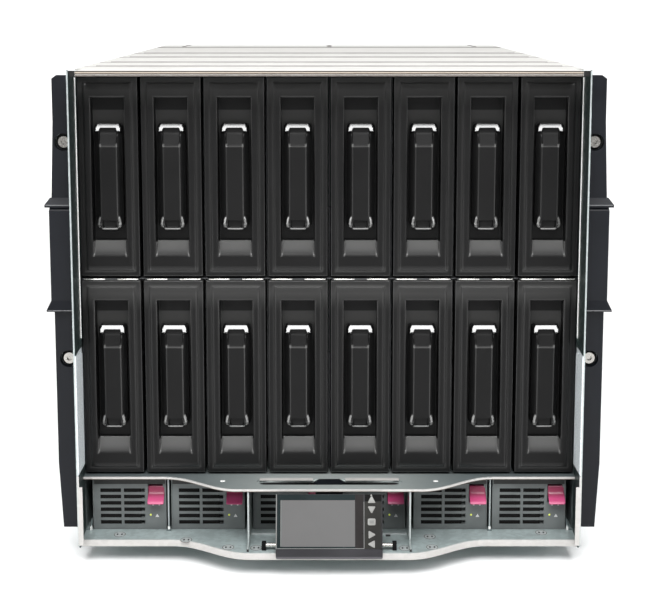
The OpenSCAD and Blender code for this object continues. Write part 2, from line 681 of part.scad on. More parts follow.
// Black bezel in front of a steel ear: two screw recesses, and a proud block between two ledges.
module ear_bezel() {
    x0 = body_w / 2 + 0.05;
    x1 = ear_span / 2;
    low = grab_mid - grab_half;
    high = grab_mid + grab_half;
    difference() {
        union() {
            rotate([90, 0, 0]) linear_extrude(height = ear_t) polygon([
                [x0, ear_foot], [x1 - 0.5, ear_foot], [x1 + 2.6, ear_foot + 60], [x1 + 2.6, high + 12],
                [x1, hole_high + 18], [x1, bezel_top - 3], [x1 - 4, bezel_top], [x0, bezel_top]]);
            hull() {
                block([x0, -ear_t - 5, low], [x1 + 4.4, -ear_t + 1, high]);
                block([x0, -ear_t, low - 5], [x1 + 3, -ear_t + 1, high + 8]);
            }
            hull() {
                block([x0, -ear_t - 6, high + ledge_gap], [x1 + 8, -ear_t + 3, high + ledge_gap + 2.4]);
                block([x0, -ear_t, high + 8], [x1 + 4, -ear_t + 1, high + 11]);
            }
            hull() {
                block([x0, -ear_t - 6, low - 5 - ledge_gap], [x1 + 8.6, -ear_t + 3, low - 6.4]);
                block([x0, -ear_t - 5, low], [x1 + 4.4, -ear_t + 1, low + 2]);
            }
        }
        for (z = [hole_low, hole_high])
            translate([hole_x, 1, z]) rotate([90, 0, 0]) cylinder(r = recess_r, h = ear_t + 2);
    }
}

module ear_bezels() {
    from_faces() color([0.12, 0.12, 0.13]) mirrored() ear_bezel();
}

screw_len = 16;        // shank below the head
head_r = 5;            // screw head, and the socket in it
head_t = 4.4;
socket_r = 2.4;
socket_depth = 2.4;

module rack_screws() {
    from_faces() color("silver") mirrored() for (z = [hole_low, hole_high])
        translate([hole_x, 0, z]) rotate([-90, 0, 0]) {
            difference() {
                translate([0, 0, -head_t]) cylinder(r = head_r, h = head_t);
                translate([0, 0, -head_t - 1]) cylinder(r = socket_r, h = socket_depth + 1);
            }
            // shank, necked where the ear holds the screw captive
            translate([0, 0, -eps]) cylinder(r = screw_r - 0.4, h = ear_plate_t + 1);
            translate([0, 0, ear_plate_t + 0.8]) cylinder(r = screw_r, h = screw_len - ear_plate_t - 0.8);
        }
}

// ---------------------------------------------------------------------- rear
module signal_board() {
    from_faces() color("seagreen") difference() {
        block([-inner_w / 2, bay_depth, floor_z + 12], [inner_w / 2, bay_depth + 5, rail_z]);
        // air openings, one above and one below each pair of bay connectors
        for (i = [0:cols - 1], z = [low_face_z + 8, high_face_z + 8])
            translate([(i - cols / 2) * bay_pitch + 9, bay_depth - 1, z]) cube([bay_pitch - 18, 7, face_h * 0.42]);
    }
}

fan_depth = 110;
hub_r = 16;            // hub of a rotor
shaft_r = 2;           // shaft of a rotor
rotor_y = rear_y - 64;     // front of the rotor
rotor_len = 26;

function fan_x(i) = ((i - 1) % 5 - 2) * fan_pitch;
function fan_z(i) = (i <= 5 ? fan_high_z : fan_low_z) + fan_h / 2;

// Fan module: square case with a round duct, a motor spider and a rear guard with a handle.
module fan_module() {
    w = fan_pitch - fan_gap;
    h = fan_h - 2 * module_gap;
    duct_r = fan_r + 1;
    difference() {
        block([-w / 2, rear_y - fan_depth, -h / 2], [w / 2, module_back, h / 2]);
        translate([0, rear_y - fan_depth - 1, 0]) rotate([-90, 0, 0]) cylinder(r = duct_r, h = fan_depth + 2);
    }
    // motor boss and its spider arms
    difference() {
        translate([0, rotor_y + rotor_len + 0.5, 0]) rotate([-90, 0, 0]) cylinder(r = hub_r - 2, h = 14);
        translate([0, rotor_y + rotor_len, 0]) rotate([-90, 0, 0]) cylinder(r = shaft_r + run_gap, h = 12);
    }
    for (a = [45:90:315]) rotate([0, a, 0])
        block([hub_r - 3, rotor_y + rotor_len + 4, -1.5], [duct_r + 0.5, rotor_y + rotor_len + 10, 1.5]);
    // guard rings and spokes
    for (r = [12, 20, 28]) translate([0, module_back - 4, 0]) rotate([-90, 0, 0])
        rotate_extrude() translate([r, 0]) square([1.6, 1.6]);
    for (a = [0:45:135]) rotate([0, a, 0])
        block([-duct_r - 0.5, module_back - 2.8, -0.9], [duct_r + 0.5, module_back - 1, 0.9]);
    // pull: a tapered tongue with a thumb ridge
    translate([0, module_back + seam, -h / 2 + 3]) linear_extrude(height = 4)
        polygon([[-22, 0], [22, 0], [18, pull_out + rear_t - seam], [-18, pull_out + rear_t - seam]]);
    block([-16, rear_y + pull_out - 4, -h / 2 + 3], [16, rear_y + pull_out - 1.5, -h / 2 + 9]);
}

module fan_modules() {
    from_faces() color([0.25, 0.25, 0.27]) for (i = [1:10])
        translate([fan_x(i), 0, fan_z(i)]) fan_module();
}

// Rotor: a hub cup with pitched blades on a shaft that runs in the motor boss.
module rotor() {
    rotate([-90, 0, 0]) {
        cylinder(r = hub_r, h = rotor_len);
        translate([0, 0, rotor_len - eps]) cylinder(r = shaft_r, h = 10);
        for (k = [0:fan_blades - 1]) rotate([0, 0, k * 360 / fan_blades])
            blade();
    }
}

// One blade, lofted from a steep root to a flatter tip.
module blade() {
    stations = [[hub_r - 1, 40, 20], [(hub_r + fan_r) / 2, 30, 23], [fan_r - 0.5, 22, 26]];
    thick = 1.4;
    points = [for (s = stations, c = [[-1, -1], [1, -1], [1, 1], [-1, 1]])
        let (a = 90 - s[1], u = c[0] * s[2] / 2 * 0.86, v = c[1] * thick / 2)
        [s[0], u * cos(a) - v * sin(a), rotor_len / 2 + u * sin(a) + v * cos(a)]];
    polyhedron(points = points, faces = concat(
        [[0, 1, 2, 3]],
        [for (k = [0, 4], j = [0:3]) [k + j, k + 4 + j, k + 4 + (j + 1) % 4, k + (j + 1) % 4]],
        [[11, 10, 9, 8]]));
}

module fan_rotor(i) {
    from_faces() color([0.15, 0.15, 0.16]) translate([fan_x(i), rotor_y, fan_z(i)]) rotor();
}

// Interconnect bay blank: a dished tray with rows of air slots and a thumb catch.
module interconnect_blank(w, h) {
    rim = min(4, h / 6);
    difference() {
        block([-w / 2, rear_y - 26, 0], [w / 2, module_back, h]);
        block([-w / 2 + rim, rear_y - 7, rim], [w / 2 - rim, rear_y, h - rim]);
        for (k = [0:10]) translate([-w / 2 + 12 + k * (w - 32) / 11, rear_y - 30, h / 4])
            cube([8, 30, h / 2]);
    }
}

module interconnect_blanks() {
    from_faces() color("lightgray") for (row = [0:3], s = [-1, 1])
        translate([s * half_bay_x, 0, ic_z + row * ic_pitch + module_gap / 2])
            interconnect_blank(half_bay_w, ic_pitch - module_gap);
}

// Administrator module: face with a network port, a serial port and a release lever.
module administrator_modules() {
    w = half_bay_w;
    from_faces() color("silver") for (s = [-1, 1]) translate([s * half_bay_x, 0, admin_z + module_gap]) {
        difference() {
            block([-w / 2, rear_y - 120, 0], [w / 2, module_back, admin_h - 2 * module_gap]);
            for (x = [-70, -52, -10, 12]) block([x, rear_y - 12, 12], [x + 14, rear_y, 24]);
        }
        block([w / 2 - 34, module_back - eps, 10], [w / 2 - 10, rear_y + 8, 14]);
    }
}

// Power inlet panel with six recessed three-pin inlets.
module power_inlet_panel() {
    pitch = inner_w / 6;
    from_faces() color([0.2, 0.2, 0.2]) {
        difference() {
            block([-inner_w / 2 + post_w + module_gap, rear_y - 34, rear_floor],
                  [inner_w / 2 - post_w - module_gap, module_back, rear_floor + inlet_h - module_gap]);
            for (i = [0:5]) translate([(i - 2.5) * pitch, 0, 0])
                block([-15, rear_y - 20, 16], [15, rear_y, 40]);
        }
        for (i = [0:5], p = [[-8, 25], [0, 31], [8, 25]])
            translate([(i - 2.5) * pitch + p[0], 0, 0])
                block([-3.5, rear_y - 21, p[1] - 1.2], [3.5, rear_y - 5, p[1] + 1.2]);
    }
}

chassis_shell();
top_cover();
bay_frame();
blade_shelf();
psu_floor();
psu_dividers();
ear_bezels();
rack_screws();
display_rod();
signal_board();
fan_modules();
interconnect_blanks();
administrator_modules();
power_inlet_panel();
display_slider();
display_housing();
display_screen();
key(0);  // key_up
key(1);  // key_down
key(2);  // key_ok
key(3);  // key_right
key(4);  // key_left
for (i = [1:10])
    fan_rotor(i);
for (i = [1:6]) {
    psu(i);
    psu_latch(i);
}
for (i = [1:8]) {
    blank(1, i);
    blank(0, i);
}
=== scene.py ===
import json
import math

import bmesh
import bpy
import numpy as np
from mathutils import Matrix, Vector


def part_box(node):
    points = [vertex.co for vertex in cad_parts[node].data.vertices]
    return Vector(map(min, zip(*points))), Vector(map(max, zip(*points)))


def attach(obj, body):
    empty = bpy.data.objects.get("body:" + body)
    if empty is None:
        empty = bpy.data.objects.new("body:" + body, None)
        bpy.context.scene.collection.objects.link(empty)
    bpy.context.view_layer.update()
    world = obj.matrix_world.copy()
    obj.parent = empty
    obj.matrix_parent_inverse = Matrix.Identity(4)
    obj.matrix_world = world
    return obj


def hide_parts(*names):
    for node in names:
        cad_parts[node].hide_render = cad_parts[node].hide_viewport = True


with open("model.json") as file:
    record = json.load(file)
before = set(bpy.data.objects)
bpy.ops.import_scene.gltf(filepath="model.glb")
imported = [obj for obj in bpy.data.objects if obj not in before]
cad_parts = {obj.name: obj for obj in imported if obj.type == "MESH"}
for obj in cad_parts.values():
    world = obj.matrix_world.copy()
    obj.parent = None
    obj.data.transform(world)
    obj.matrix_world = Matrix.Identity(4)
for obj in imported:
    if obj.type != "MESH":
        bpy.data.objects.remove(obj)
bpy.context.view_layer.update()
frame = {"nodes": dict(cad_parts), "record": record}

# ------------------------------------------------------------------ camera
# The camera stands a metre and a third in front of the blades' faces, a little above the top
# of the chassis, and looks slightly down. Its shift places the chassis in the picture.
FACES_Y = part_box("upper_blank_1")[0].y      # the plane of the blade faces
EYE = (0.0, FACES_Y - 1.3741, 0.4984)
LOOK_DOWN = math.radians(8.98)

camera_data = bpy.data.cameras.new("camera")
camera_data.sensor_width = 36
camera_data.lens = 86.1
camera_data.shift_x = -0.0026
camera_data.shift_y = -0.0794
camera = bpy.data.objects.new("camera", camera_data)
camera.location = EYE
camera.rotation_euler = (math.pi / 2 - LOOK_DOWN, 0, 0)
bpy.context.scene.collection.objects.link(camera)
bpy.context.scene.camera = camera

# ------------------------------------------------------------------ studio
# A white floor that rolls up into a wall far behind, one large soft key light high in front,
# a second overhead, one on the wall, and two weak panels that draw the vertical edges.


class Wire:
    """A shader socket that takes part in sums, differences and products."""

    def __init__(self, finish, socket):
        self.finish, self.socket = finish, socket

    def math(self, operation, *others):
        return self.finish.node("Math", {"operation": operation},
                                dict(enumerate((self, *others))))

    def __add__(self, other):
        return self.math("ADD", other)

    def __mul__(self, other):
        return self.math("MULTIPLY", other)

    def __sub__(self, other):
        return self.math("SUBTRACT", other)

    def __rsub__(self, other):
        return self.finish.node("Math", {"operation": "SUBTRACT"}, {0: other, 1: self})

    __radd__, __rmul__ = __add__, __mul__


class Finish:
    """A material: its constants are set on the shader, and its patterns are wired in."""

    def __init__(self, name, color, **constants):
        self.material = bpy.data.materials.new(name)
        self.material.use_nodes = True
        self.tree = self.material.node_tree
        self.shader = self.tree.nodes["Principled BSDF"]
        self.shader.inputs["Base Color"].default_value = (*color, 1)
        for socket, value in constants.items():
            self.shader.inputs[socket.replace("_", " ")].default_value = value
        self.material.diffuse_color = (*color, 1)

    def node(self, kind, settings=None, inputs=None, output=0):
        made = self.tree.nodes.new("ShaderNode" + kind)
        for key, value in (settings or {}).items():
            setattr(made, key, value)
        for key, value in (inputs or {}).items():
            self.feed(made.inputs[key], value)
        return Wire(self, made.outputs[output])

    def feed(self, socket, value):
        if isinstance(value, Wire):
            self.tree.links.new(value.socket, socket)
        else:
            socket.default_value = value

    def wire(self, **sockets):
        for socket, value in sockets.items():
            self.feed(self.shader.inputs[socket.replace("_", " ")], value)
        return self

    def base(self):
        """The colour that the shader takes its base colour from so far."""
        return Wire(self, self.shader.inputs["Base Color"].links[0].from_socket)

    def attribute(self, name):
        """A number that the mesh carries at each point."""
        return self.node("Attribute", {"attribute_name": name}, output=2)

    def place(self):
        """Object coordinates."""
        return self.node("TexCoord", output="Object")

    def noise(self, scale, detail=3.0):
        return self.node("TexNoise", None,
                         {"Vector": self.place(), "Scale": scale, "Detail": detail})

    def cells(self, scale):
        return self.node("TexVoronoi", None, {"Vector": self.place(), "Scale": scale}, "Color")

    def axis(self, which):
        return self.node("SeparateXYZ", None, {0: self.place()}, which)

    def fade(self, value, low, high, out_low=0.0, out_high=1.0):
        """value mapped from low..high to out_low..out_high, and held beyond."""
        return self.node("MapRange", {"interpolation_type": "SMOOTHSTEP"},
                         {"Value": value, "From Min": low, "From Max": high,
                          "To Min": out_low, "To Max": out_high})

    def blend(self, factor, a, b):
        """Colour a where factor is 0, b where it is 1."""
        made = self.node("Mix", {"data_type": "RGBA"}, {0: factor}, 2)
        for socket, value in ((6, a), (7, b)):
            self.feed(made.socket.node.inputs[socket],
                      value if isinstance(value, Wire) else (*value, 1))
        return made

    def bump(self, height, distance, strength=1.0):
        return self.node("Bump", None,
                         {"Height": height, "Distance": distance, "Strength": strength})


floor_paint = Finish("studio_floor", (0.93, 0.93, 0.93), Roughness=0.9)
floor_paint.wire(Roughness=floor_paint.fade(floor_paint.noise(3.0), 0.3, 0.7, 0.85, 0.95))


def mesh_object(name, vertices, faces, finish, smooth=False):
    """An object at the origin from an array of points and a list or array of faces."""
    mesh = bpy.data.meshes.new(name)
    faces = [tuple(map(int, face)) for face in faces]
    mesh.from_pydata(np.asarray(vertices, float).tolist(), [], faces)
    mesh.materials.append(finish.material)
    if smooth:
        mesh.shade_smooth()
    made = bpy.data.objects.new(name, mesh)
    bpy.context.scene.collection.objects.link(made)
    return made


# floor: a flat sheet that rolls up into a wall far behind
FLOOR_HALF, FLOOR_FRONT, ROLL_Y, ROLL_R, WALL_TOP = 9.0, -6.0, 4.0, 1.5, 9.0
roll = np.linspace(0, math.pi / 2, 25)
reach_y = np.concatenate([[FLOOR_FRONT], ROLL_Y + ROLL_R * np.sin(roll), [ROLL_Y + ROLL_R]])
reach_z = np.concatenate([[0.0], ROLL_R * (1 - np.cos(roll)), [WALL_TOP]])
sweep = np.array([[side * FLOOR_HALF, y, z] for y, z in zip(reach_y, reach_z) for side in (-1, 1)])
rows = np.arange(len(reach_y) - 1)
floor = mesh_object("studio_floor", sweep,
                    np.stack([2 * rows, 2 * rows + 1, 2 * rows + 3, 2 * rows + 2], 1),
                    floor_paint, smooth=True)


def panel_light(name, place, aim, size, power):
    """A rectangular soft light at place, turned to aim."""
    data = bpy.data.lights.new(name, "AREA")
    data.shape = "RECTANGLE"
    data.size, data.size_y = size
    data.energy = power
    lamp = bpy.data.objects.new(name, data)
    bpy.context.scene.collection.objects.link(lamp)
    lamp.location = place
    lamp.rotation_euler = (Vector(place) - Vector(aim)).to_track_quat("Z", "Y").to_euler()


front_middle = (0, FACES_Y, 0.26)
panel_light("key_light", (0, FACES_Y - 1.75, 2.02), front_middle, (1.9, 1.25), 86)
panel_light("left_light", (-2.3, FACES_Y - 1.2, 0.9), front_middle, (0.7, 1.6), 15)
panel_light("right_light", (2.3, FACES_Y - 1.2, 0.9), front_middle, (0.7, 1.6), 15)
panel_light("top_light", (0, FACES_Y - 0.1, 2.5), (0, FACES_Y, 0.44), (2.4, 1.8), 58)
panel_light("wall_light", (0, 2.2, 3.0), (0, 5.4, 1.6), (4.0, 1.0), 160)

world = bpy.data.worlds.new("studio")
world.use_nodes = True
world.node_tree.nodes["Background"].inputs["Color"].default_value = (1, 1, 1, 1)
world.node_tree.nodes["Background"].inputs["Strength"].default_value = 0.25
bpy.context.scene.world = world
bpy.context.scene.view_settings.view_transform = "Standard"

# ------------------------------------------------------------------ steel sheets
# The enclosure is folded from hot-dip galvanised sheet. Its zinc freezes in spangles a
# few millimetres wide, and the sides and the cover are pretreated a little brighter.


def zinc(name, color, spangle=260.0, contrast=0.22, metallic=0.75, rough=(0.34, 0.5), relief=0.25,
         **constants):
    """Galvanised sheet: spangles of different brightness under a faint drawn grain."""
    made = Finish(name, color, Metallic=metallic, **constants)
    grains = made.node("RGBToBW", None, {0: made.cells(spangle)})
    cloud = made.noise(40.0)
    tone = made.fade(grains * 0.7 + cloud * 0.6, 0.3, 1.0, 1 - contrast, 1 + contrast * 0.4)
    dark = tuple(c * (1 - contrast) for c in color)
    light = tuple(min(1.0, c * (1 + contrast)) for c in color)
    made.wire(Base_Color=made.blend(made.fade(tone, 1 - contrast, 1 + contrast * 0.4), dark, light),
              Roughness=made.fade(grains, 0.2, 0.9, *rough),
              Normal=made.bump(grains + made.noise(900.0, 2.0), 0.00002, relief))
    return made


shell_zinc = zinc("shell_zinc", (0.40, 0.46, 0.46), contrast=0.12)
# inside the mouth the cheeks are painted dark teal, partly their passivated finish and partly painted
# shade and dark reflection, but bare spangled zinc beside the lower blades
CHEEK_INSIDE, BARE_LOW, BARE_HIGH = 0.2230, 0.085, 0.193
height = shell_zinc.axis(2)
mouth = (shell_zinc.fade(shell_zinc.axis(0).math("ABSOLUTE"), CHEEK_INSIDE + 0.0002, CHEEK_INSIDE - 0.0001)
         * shell_zinc.fade(shell_zinc.axis(1), FACES_Y + 0.004, FACES_Y + 0.001))
bare = (shell_zinc.fade(height, BARE_LOW - 0.0005, BARE_LOW + 0.0005)
        * shell_zinc.fade(height, BARE_HIGH + 0.0005, BARE_HIGH - 0.0005) * mouth)
teal = (1 - bare) * mouth
spangle = shell_zinc.fade(shell_zinc.noise(700.0, 4.0), 0.3, 0.7)
bare_color = shell_zinc.blend(spangle, (0.52, 0.57, 0.59), (0.82, 0.86, 0.88))
# painted shade: the dark teal lining stands partly for shade and dark reflections inside the mouth
lined = shell_zinc.blend(teal, shell_zinc.base(), (0.042, 0.062, 0.060))
shell_zinc.wire(Base_Color=shell_zinc.blend(bare, lined, bare_color),
                Metallic=shell_zinc.fade(bare, 0, 1, 0.75, 0.15))

cover_zinc = zinc("cover_zinc", (0.47, 0.465, 0.45), contrast=0.03, metallic=0.0, rough=(0.8, 0.9),
                  relief=0.05, Specular_IOR_Level=0.05)
# the cover is drab along the creases of the pressed beads and along the seam, and faintly in blotches
BEADS, SEAM = ((0.058, 0.011), (0.156, 0.014), (0.301, 0.018), (0.429, 0.02)), (0.672, 0.022)
along = cover_zinc.axis(1)
drab = cover_zinc.noise(30.0) * 0.25
for (crease, wide), strength in [*((bead, 0.55) for bead in BEADS), (SEAM, 0.95)]:
    away = (along - (FACES_Y + crease)).math("ABSOLUTE")
    drab = drab + cover_zinc.fade(away, wide, wide * 0.2) * strength
cover_zinc.wire(Base_Color=cover_zinc.blend(drab, cover_zinc.base(), (0.15, 0.145, 0.14)))

frame_zinc = zinc("frame_zinc", (0.05, 0.052, 0.054), contrast=0.1, metallic=0.4)
shelf_zinc = zinc("shelf_zinc", (0.15, 0.18, 0.185), contrast=0.05, metallic=0.45, rough=(0.3, 0.36),
                  relief=0.03)
# the shelf is lighter towards its middle
from_middle = shelf_zinc.axis(0).math("ABSOLUTE") + shelf_zinc.noise(25.0) * 0.02
shelf_zinc.wire(Base_Color=shelf_zinc.blend(shelf_zinc.fade(from_middle, 0.16, 0.03), shelf_zinc.base(),
                                            (0.42, 0.46, 0.45)))
floor_zinc = zinc("floor_zinc", (0.31, 0.365, 0.365), contrast=0.12, metallic=0.25, rough=(0.32, 0.4),
                  relief=0.03)
nickel = zinc("nickel", (0.36, 0.35, 0.33), spangle=900.0, contrast=0.12, metallic=1.0, rough=(0.22, 0.32))

# ------------------------------------------------------------------ plastic and painted parts
# The bezels, fans, latches, display and keys are moulded plastic, and the power supplies are
# painted. Every sheet and part that comes from the frame is given its finish here.


def plastic(name, color, grain=2600.0, depth=0.00003, rough=(0.4, 0.5), vary=0.15, **constants):
    """Moulded plastic: a fine eroded grain, and slow changes of tone and gloss."""
    made = Finish(name, color, **constants)
    slow = made.noise(28.0)
    dark = tuple(c * (1 - vary) for c in color)
    light = tuple(c * (1 + vary) for c in color)
    made.wire(Base_Color=made.blend(made.fade(slow, 0.3, 0.7), dark, light),
              Roughness=made.fade(slow + made.noise(300.0) * 0.4, 0.4, 1.0, *rough),
              Normal=made.bump(made.noise(grain, 1.0), depth, 0.5))
    return made


bezel_plastic = plastic("bezel_plastic", (0.005, 0.006, 0.0085), rough=(0.34, 0.44),
                        Specular_IOR_Level=0.2)
board_resin = plastic("board_resin", (0.02, 0.12, 0.06), rough=(0.3, 0.4))
case_plastic = plastic("case_plastic", (0.03, 0.03, 0.033))
rotor_plastic = plastic("rotor_plastic", (0.02, 0.02, 0.021))
supply_paint = plastic("supply_paint", (0.105, 0.115, 0.115), rough=(0.45, 0.55), Specular_IOR_Level=0.3)
latch_plastic = plastic("latch_plastic", (0.42, 0.035, 0.13), rough=(0.3, 0.4), vary=0.06)
# the flare of a latch turns to the light and is paler than its upright half
flare = latch_plastic.fade(latch_plastic.axis(2), 0.0565, 0.0525)
latch_plastic.wire(Base_Color=latch_plastic.blend(flare, (0.20, 0.018, 0.055), (0.40, 0.045, 0.14)))
housing_plastic = plastic("housing_plastic", (0.017, 0.0165, 0.0195), rough=(0.36, 0.46),
                          Specular_IOR_Level=0.35)
screen_glass = plastic("screen_glass", (0.105, 0.104, 0.104), rough=(0.24, 0.27), depth=0.000002, vary=0.02,
                       Specular_IOR_Level=0.2)
key_plastic = plastic("key_plastic", (0.45, 0.45, 0.47), vary=0.05)

by_slot = {"shell": shell_zinc, "cover": cover_zinc, "frame": frame_zinc, "shelf": shelf_zinc,
           "bezel": bezel_plastic, "nickel": nickel, "board": board_resin, "module_case": case_plastic,
           "module_face": frame_zinc, "inlet": case_plastic, "rotor": rotor_plastic,
           "supply": supply_paint, "latch": latch_plastic,
           "housing": housing_plastic, "screen": screen_glass, "key": key_plastic}
finish_of = {part["node"]: by_slot[part["material_slot"]] for part in frame["record"]["subparts"]
             if part["material_slot"] in by_slot}
finish_of["psu_floor"] = floor_zinc
for name, finish in finish_of.items():
    node = frame["nodes"][name]
    node.data.materials.clear()
    node.data.materials.append(finish.material)

# ------------------------------------------------------------------ blade blanks
# A blank is an injection-moulded box that fills the mouth of an empty bay. Its face has a
# raised panel and a finger pocket with a grip moulded across it; the mould's edges are
# polished, so they shine where the grained faces do not.

MM = 0.001


def quads(rows, columns, start=0, turn=False):
    """Faces of a grid of points laid row by row: each joins four neighbours."""
    first = start + (np.arange(rows - 1)[:, None] * columns + np.arange(columns - 1)).ravel()
    faces = np.stack([first, first + 1, first + columns + 1, first + columns], 1)
    return faces[:, ::-1] if turn else faces


def outward(height):
    """How sharply each point of a height grid stands out ahead of its four neighbours."""
    wide = np.pad(height, 1, mode="edge")
    mean = (wide[2:, 1:-1] + wide[:-2, 1:-1] + wide[1:-1, 2:] + wide[1:-1, :-2]) / 4
    return np.clip((mean - height) / 0.1, 0, 1)


def both_sides(values):
    """Mirror distances from the centre line into a full row from left to right."""
    values = np.sort(np.asarray(values, float))
    return np.concatenate([-values[::-1], values[values > 0]])


blank_plastic = plastic("blank_plastic", (0.004, 0.004, 0.0041), rough=(0.44, 0.52), vary=0.12,
                        Specular_IOR_Level=0.16, Coat_Roughness=0.1, Coat_IOR=1.8)
# painted light: a point attribute lightens the base colour towards pale grey where the face and grip show
# highlights and lit patches
blank_plastic.wire(Coat_Weight=blank_plastic.attribute("polish"),
                   Base_Color=blank_plastic.blend(blank_plastic.attribute("painted_light"), blank_plastic.base(),
                                                  (0.25, 0.25, 0.245)))

FACE_H = 177.0          # height of a face, in millimetres as all sizes of this section
HALF_FACE = 26.5
FACE_BACK = 16.0        # back of the moulded face behind its raised panel
POCKET_TOP = 159.2      # upper end of the finger pocket, and the foot of its scoop
SCOOP_FOOT, SCOOP_TOP = 17.5, 31.5
POCKET_DEEP = 13.0
GRIP_FOOT, GRIP_HEAD = 40.7, 136.1
HALF_TUNNEL, GRIP_BACK = 9.5, 6.4
RING = 12               # points in each ring of the box behind the face


def face_surface():
    """Points, polish and painted light of the face. Its depth is read from the distance to the outline for
    the border and the raised panel, and from the distance inside the pocket's outline for
    the pocket, which is held at the curve of the scoop."""
    across = both_sides([0, 2, 4, 6, 8, 10, 12, 13.4, 14.1, 14.5, 14.7, 14.92, 15, 15.15, 15.35, 17,
                         19, 20.6, 20.8, 21.05, 21.3, 21.5, 23.5, 25.5, 25.7, 26.1, 26.35, 26.5, 26.5])
    edge = np.array([0, 0, 0.15, 0.4, 0.8, 1.4, 3, 5, 5.2, 5.45, 5.7, 5.9])
    pocket_edge = np.array([1.4, 0.9, 0.5, 0.3, 0.08, 0, -0.15, -0.35, -2, -6])
    up = np.concatenate([edge, [10, 15, 16.5], np.linspace(17.5, 31.3, 16), [31.5, 31.65, 32.4, 34],
                         np.linspace(40, 130, 10), [138, 146.6, 147.2, 147.6, 150, 156],
                         POCKET_TOP - pocket_edge, FACE_H - edge[::-1]])
    x, z = np.meshgrid(across, up)
    reach = np.abs(x)
    from_edge = np.minimum(HALF_FACE - reach, np.minimum(z, FACE_H - z))
    face = np.interp(from_edge, [0, 0.15, 0.4, 0.8, 5, 5.2, 5.45, 5.7, 5.9],
                     [2.0, 1.5, 1.12, 1.0, 1.0, 0.86, 0.5, 0.14, 0])
    narrow = np.interp(z, [17.5, 20, 23, 27, 31.5, 32.4], [0, 0.45, 0.7, 0.85, 0.9, 0])
    inside = np.minimum(15 - reach, POCKET_TOP - z)
    wall = np.interp(inside, [-0.35, -0.15, 0, 0.08, 0.3, 0.5, 0.9], [0, 0.08, 0.35, 1.2, 12.2, 12.7, 13])
    climb = np.clip((z - SCOOP_FOOT) / (SCOOP_TOP - SCOOP_FOOT), 0, 1)
    # the scoop starts as a parabola, goes on straight, and drops to the pocket past its top
    scoop = np.where(climb < 0.25, 20.2 * climb ** 2, 1.26 + 10.1 * (climb - 0.25)) + 9 * (z > SCOOP_TOP)
    depth = np.maximum(face, np.minimum(wall, scoop))
    polish = outward(depth) * 0.6 * ((z < 15) | (z > 31) | (reach > 14.2))
    rim = (from_edge > 4.95) & (from_edge < 5.6)
    pocket = (reach < 14.6) & (z < POCKET_TOP - 0.4)
    in_scoop = (reach < 14.6) & (z > SCOOP_FOOT) & (z < SCOOP_TOP)
    # painted light: the rim, the scoop and its sides, the pocket's upper end, and the strip above the pocket
    # are lightened, standing for highlights and lit patches
    painted_light = np.maximum.reduce([
        rim * np.where(z > 170, 0.12, np.where(z < 7, 0.11, 0.045)),
        in_scoop * np.interp(climb, [0, 0.2, 0.5, 1], [0, 0.04, 0.18, 0.25]),
        (reach > 14) * (reach < 15.3) * (z > SCOOP_FOOT) * (z < SCOOP_TOP + 0.1) * 0.22,
        pocket * np.interp(z, [120, 136, 147.2, 147.6], [0, 0.1, 0.1, 0]),
        (reach > 14.95) * (reach < 15.3) * np.interp(z, [90, 140, 158, 160], [0, 0.22, 0.22, 0]),
        ~pocket * np.interp(z, [152, 166, 170, 172], [0, 0.09, 0.09, 0.05])])
    x = x - np.sign(x) * narrow * np.interp(reach, [4, 13.4, 15.35, 20.6], [0, 1, 1, 0])
    for ring in (0, -1):
        depth[ring], depth[:, ring] = FACE_BACK, FACE_BACK
        polish[ring], polish[:, ring] = 0, 0
    return np.stack([x, depth, z], 2), polish, painted_light


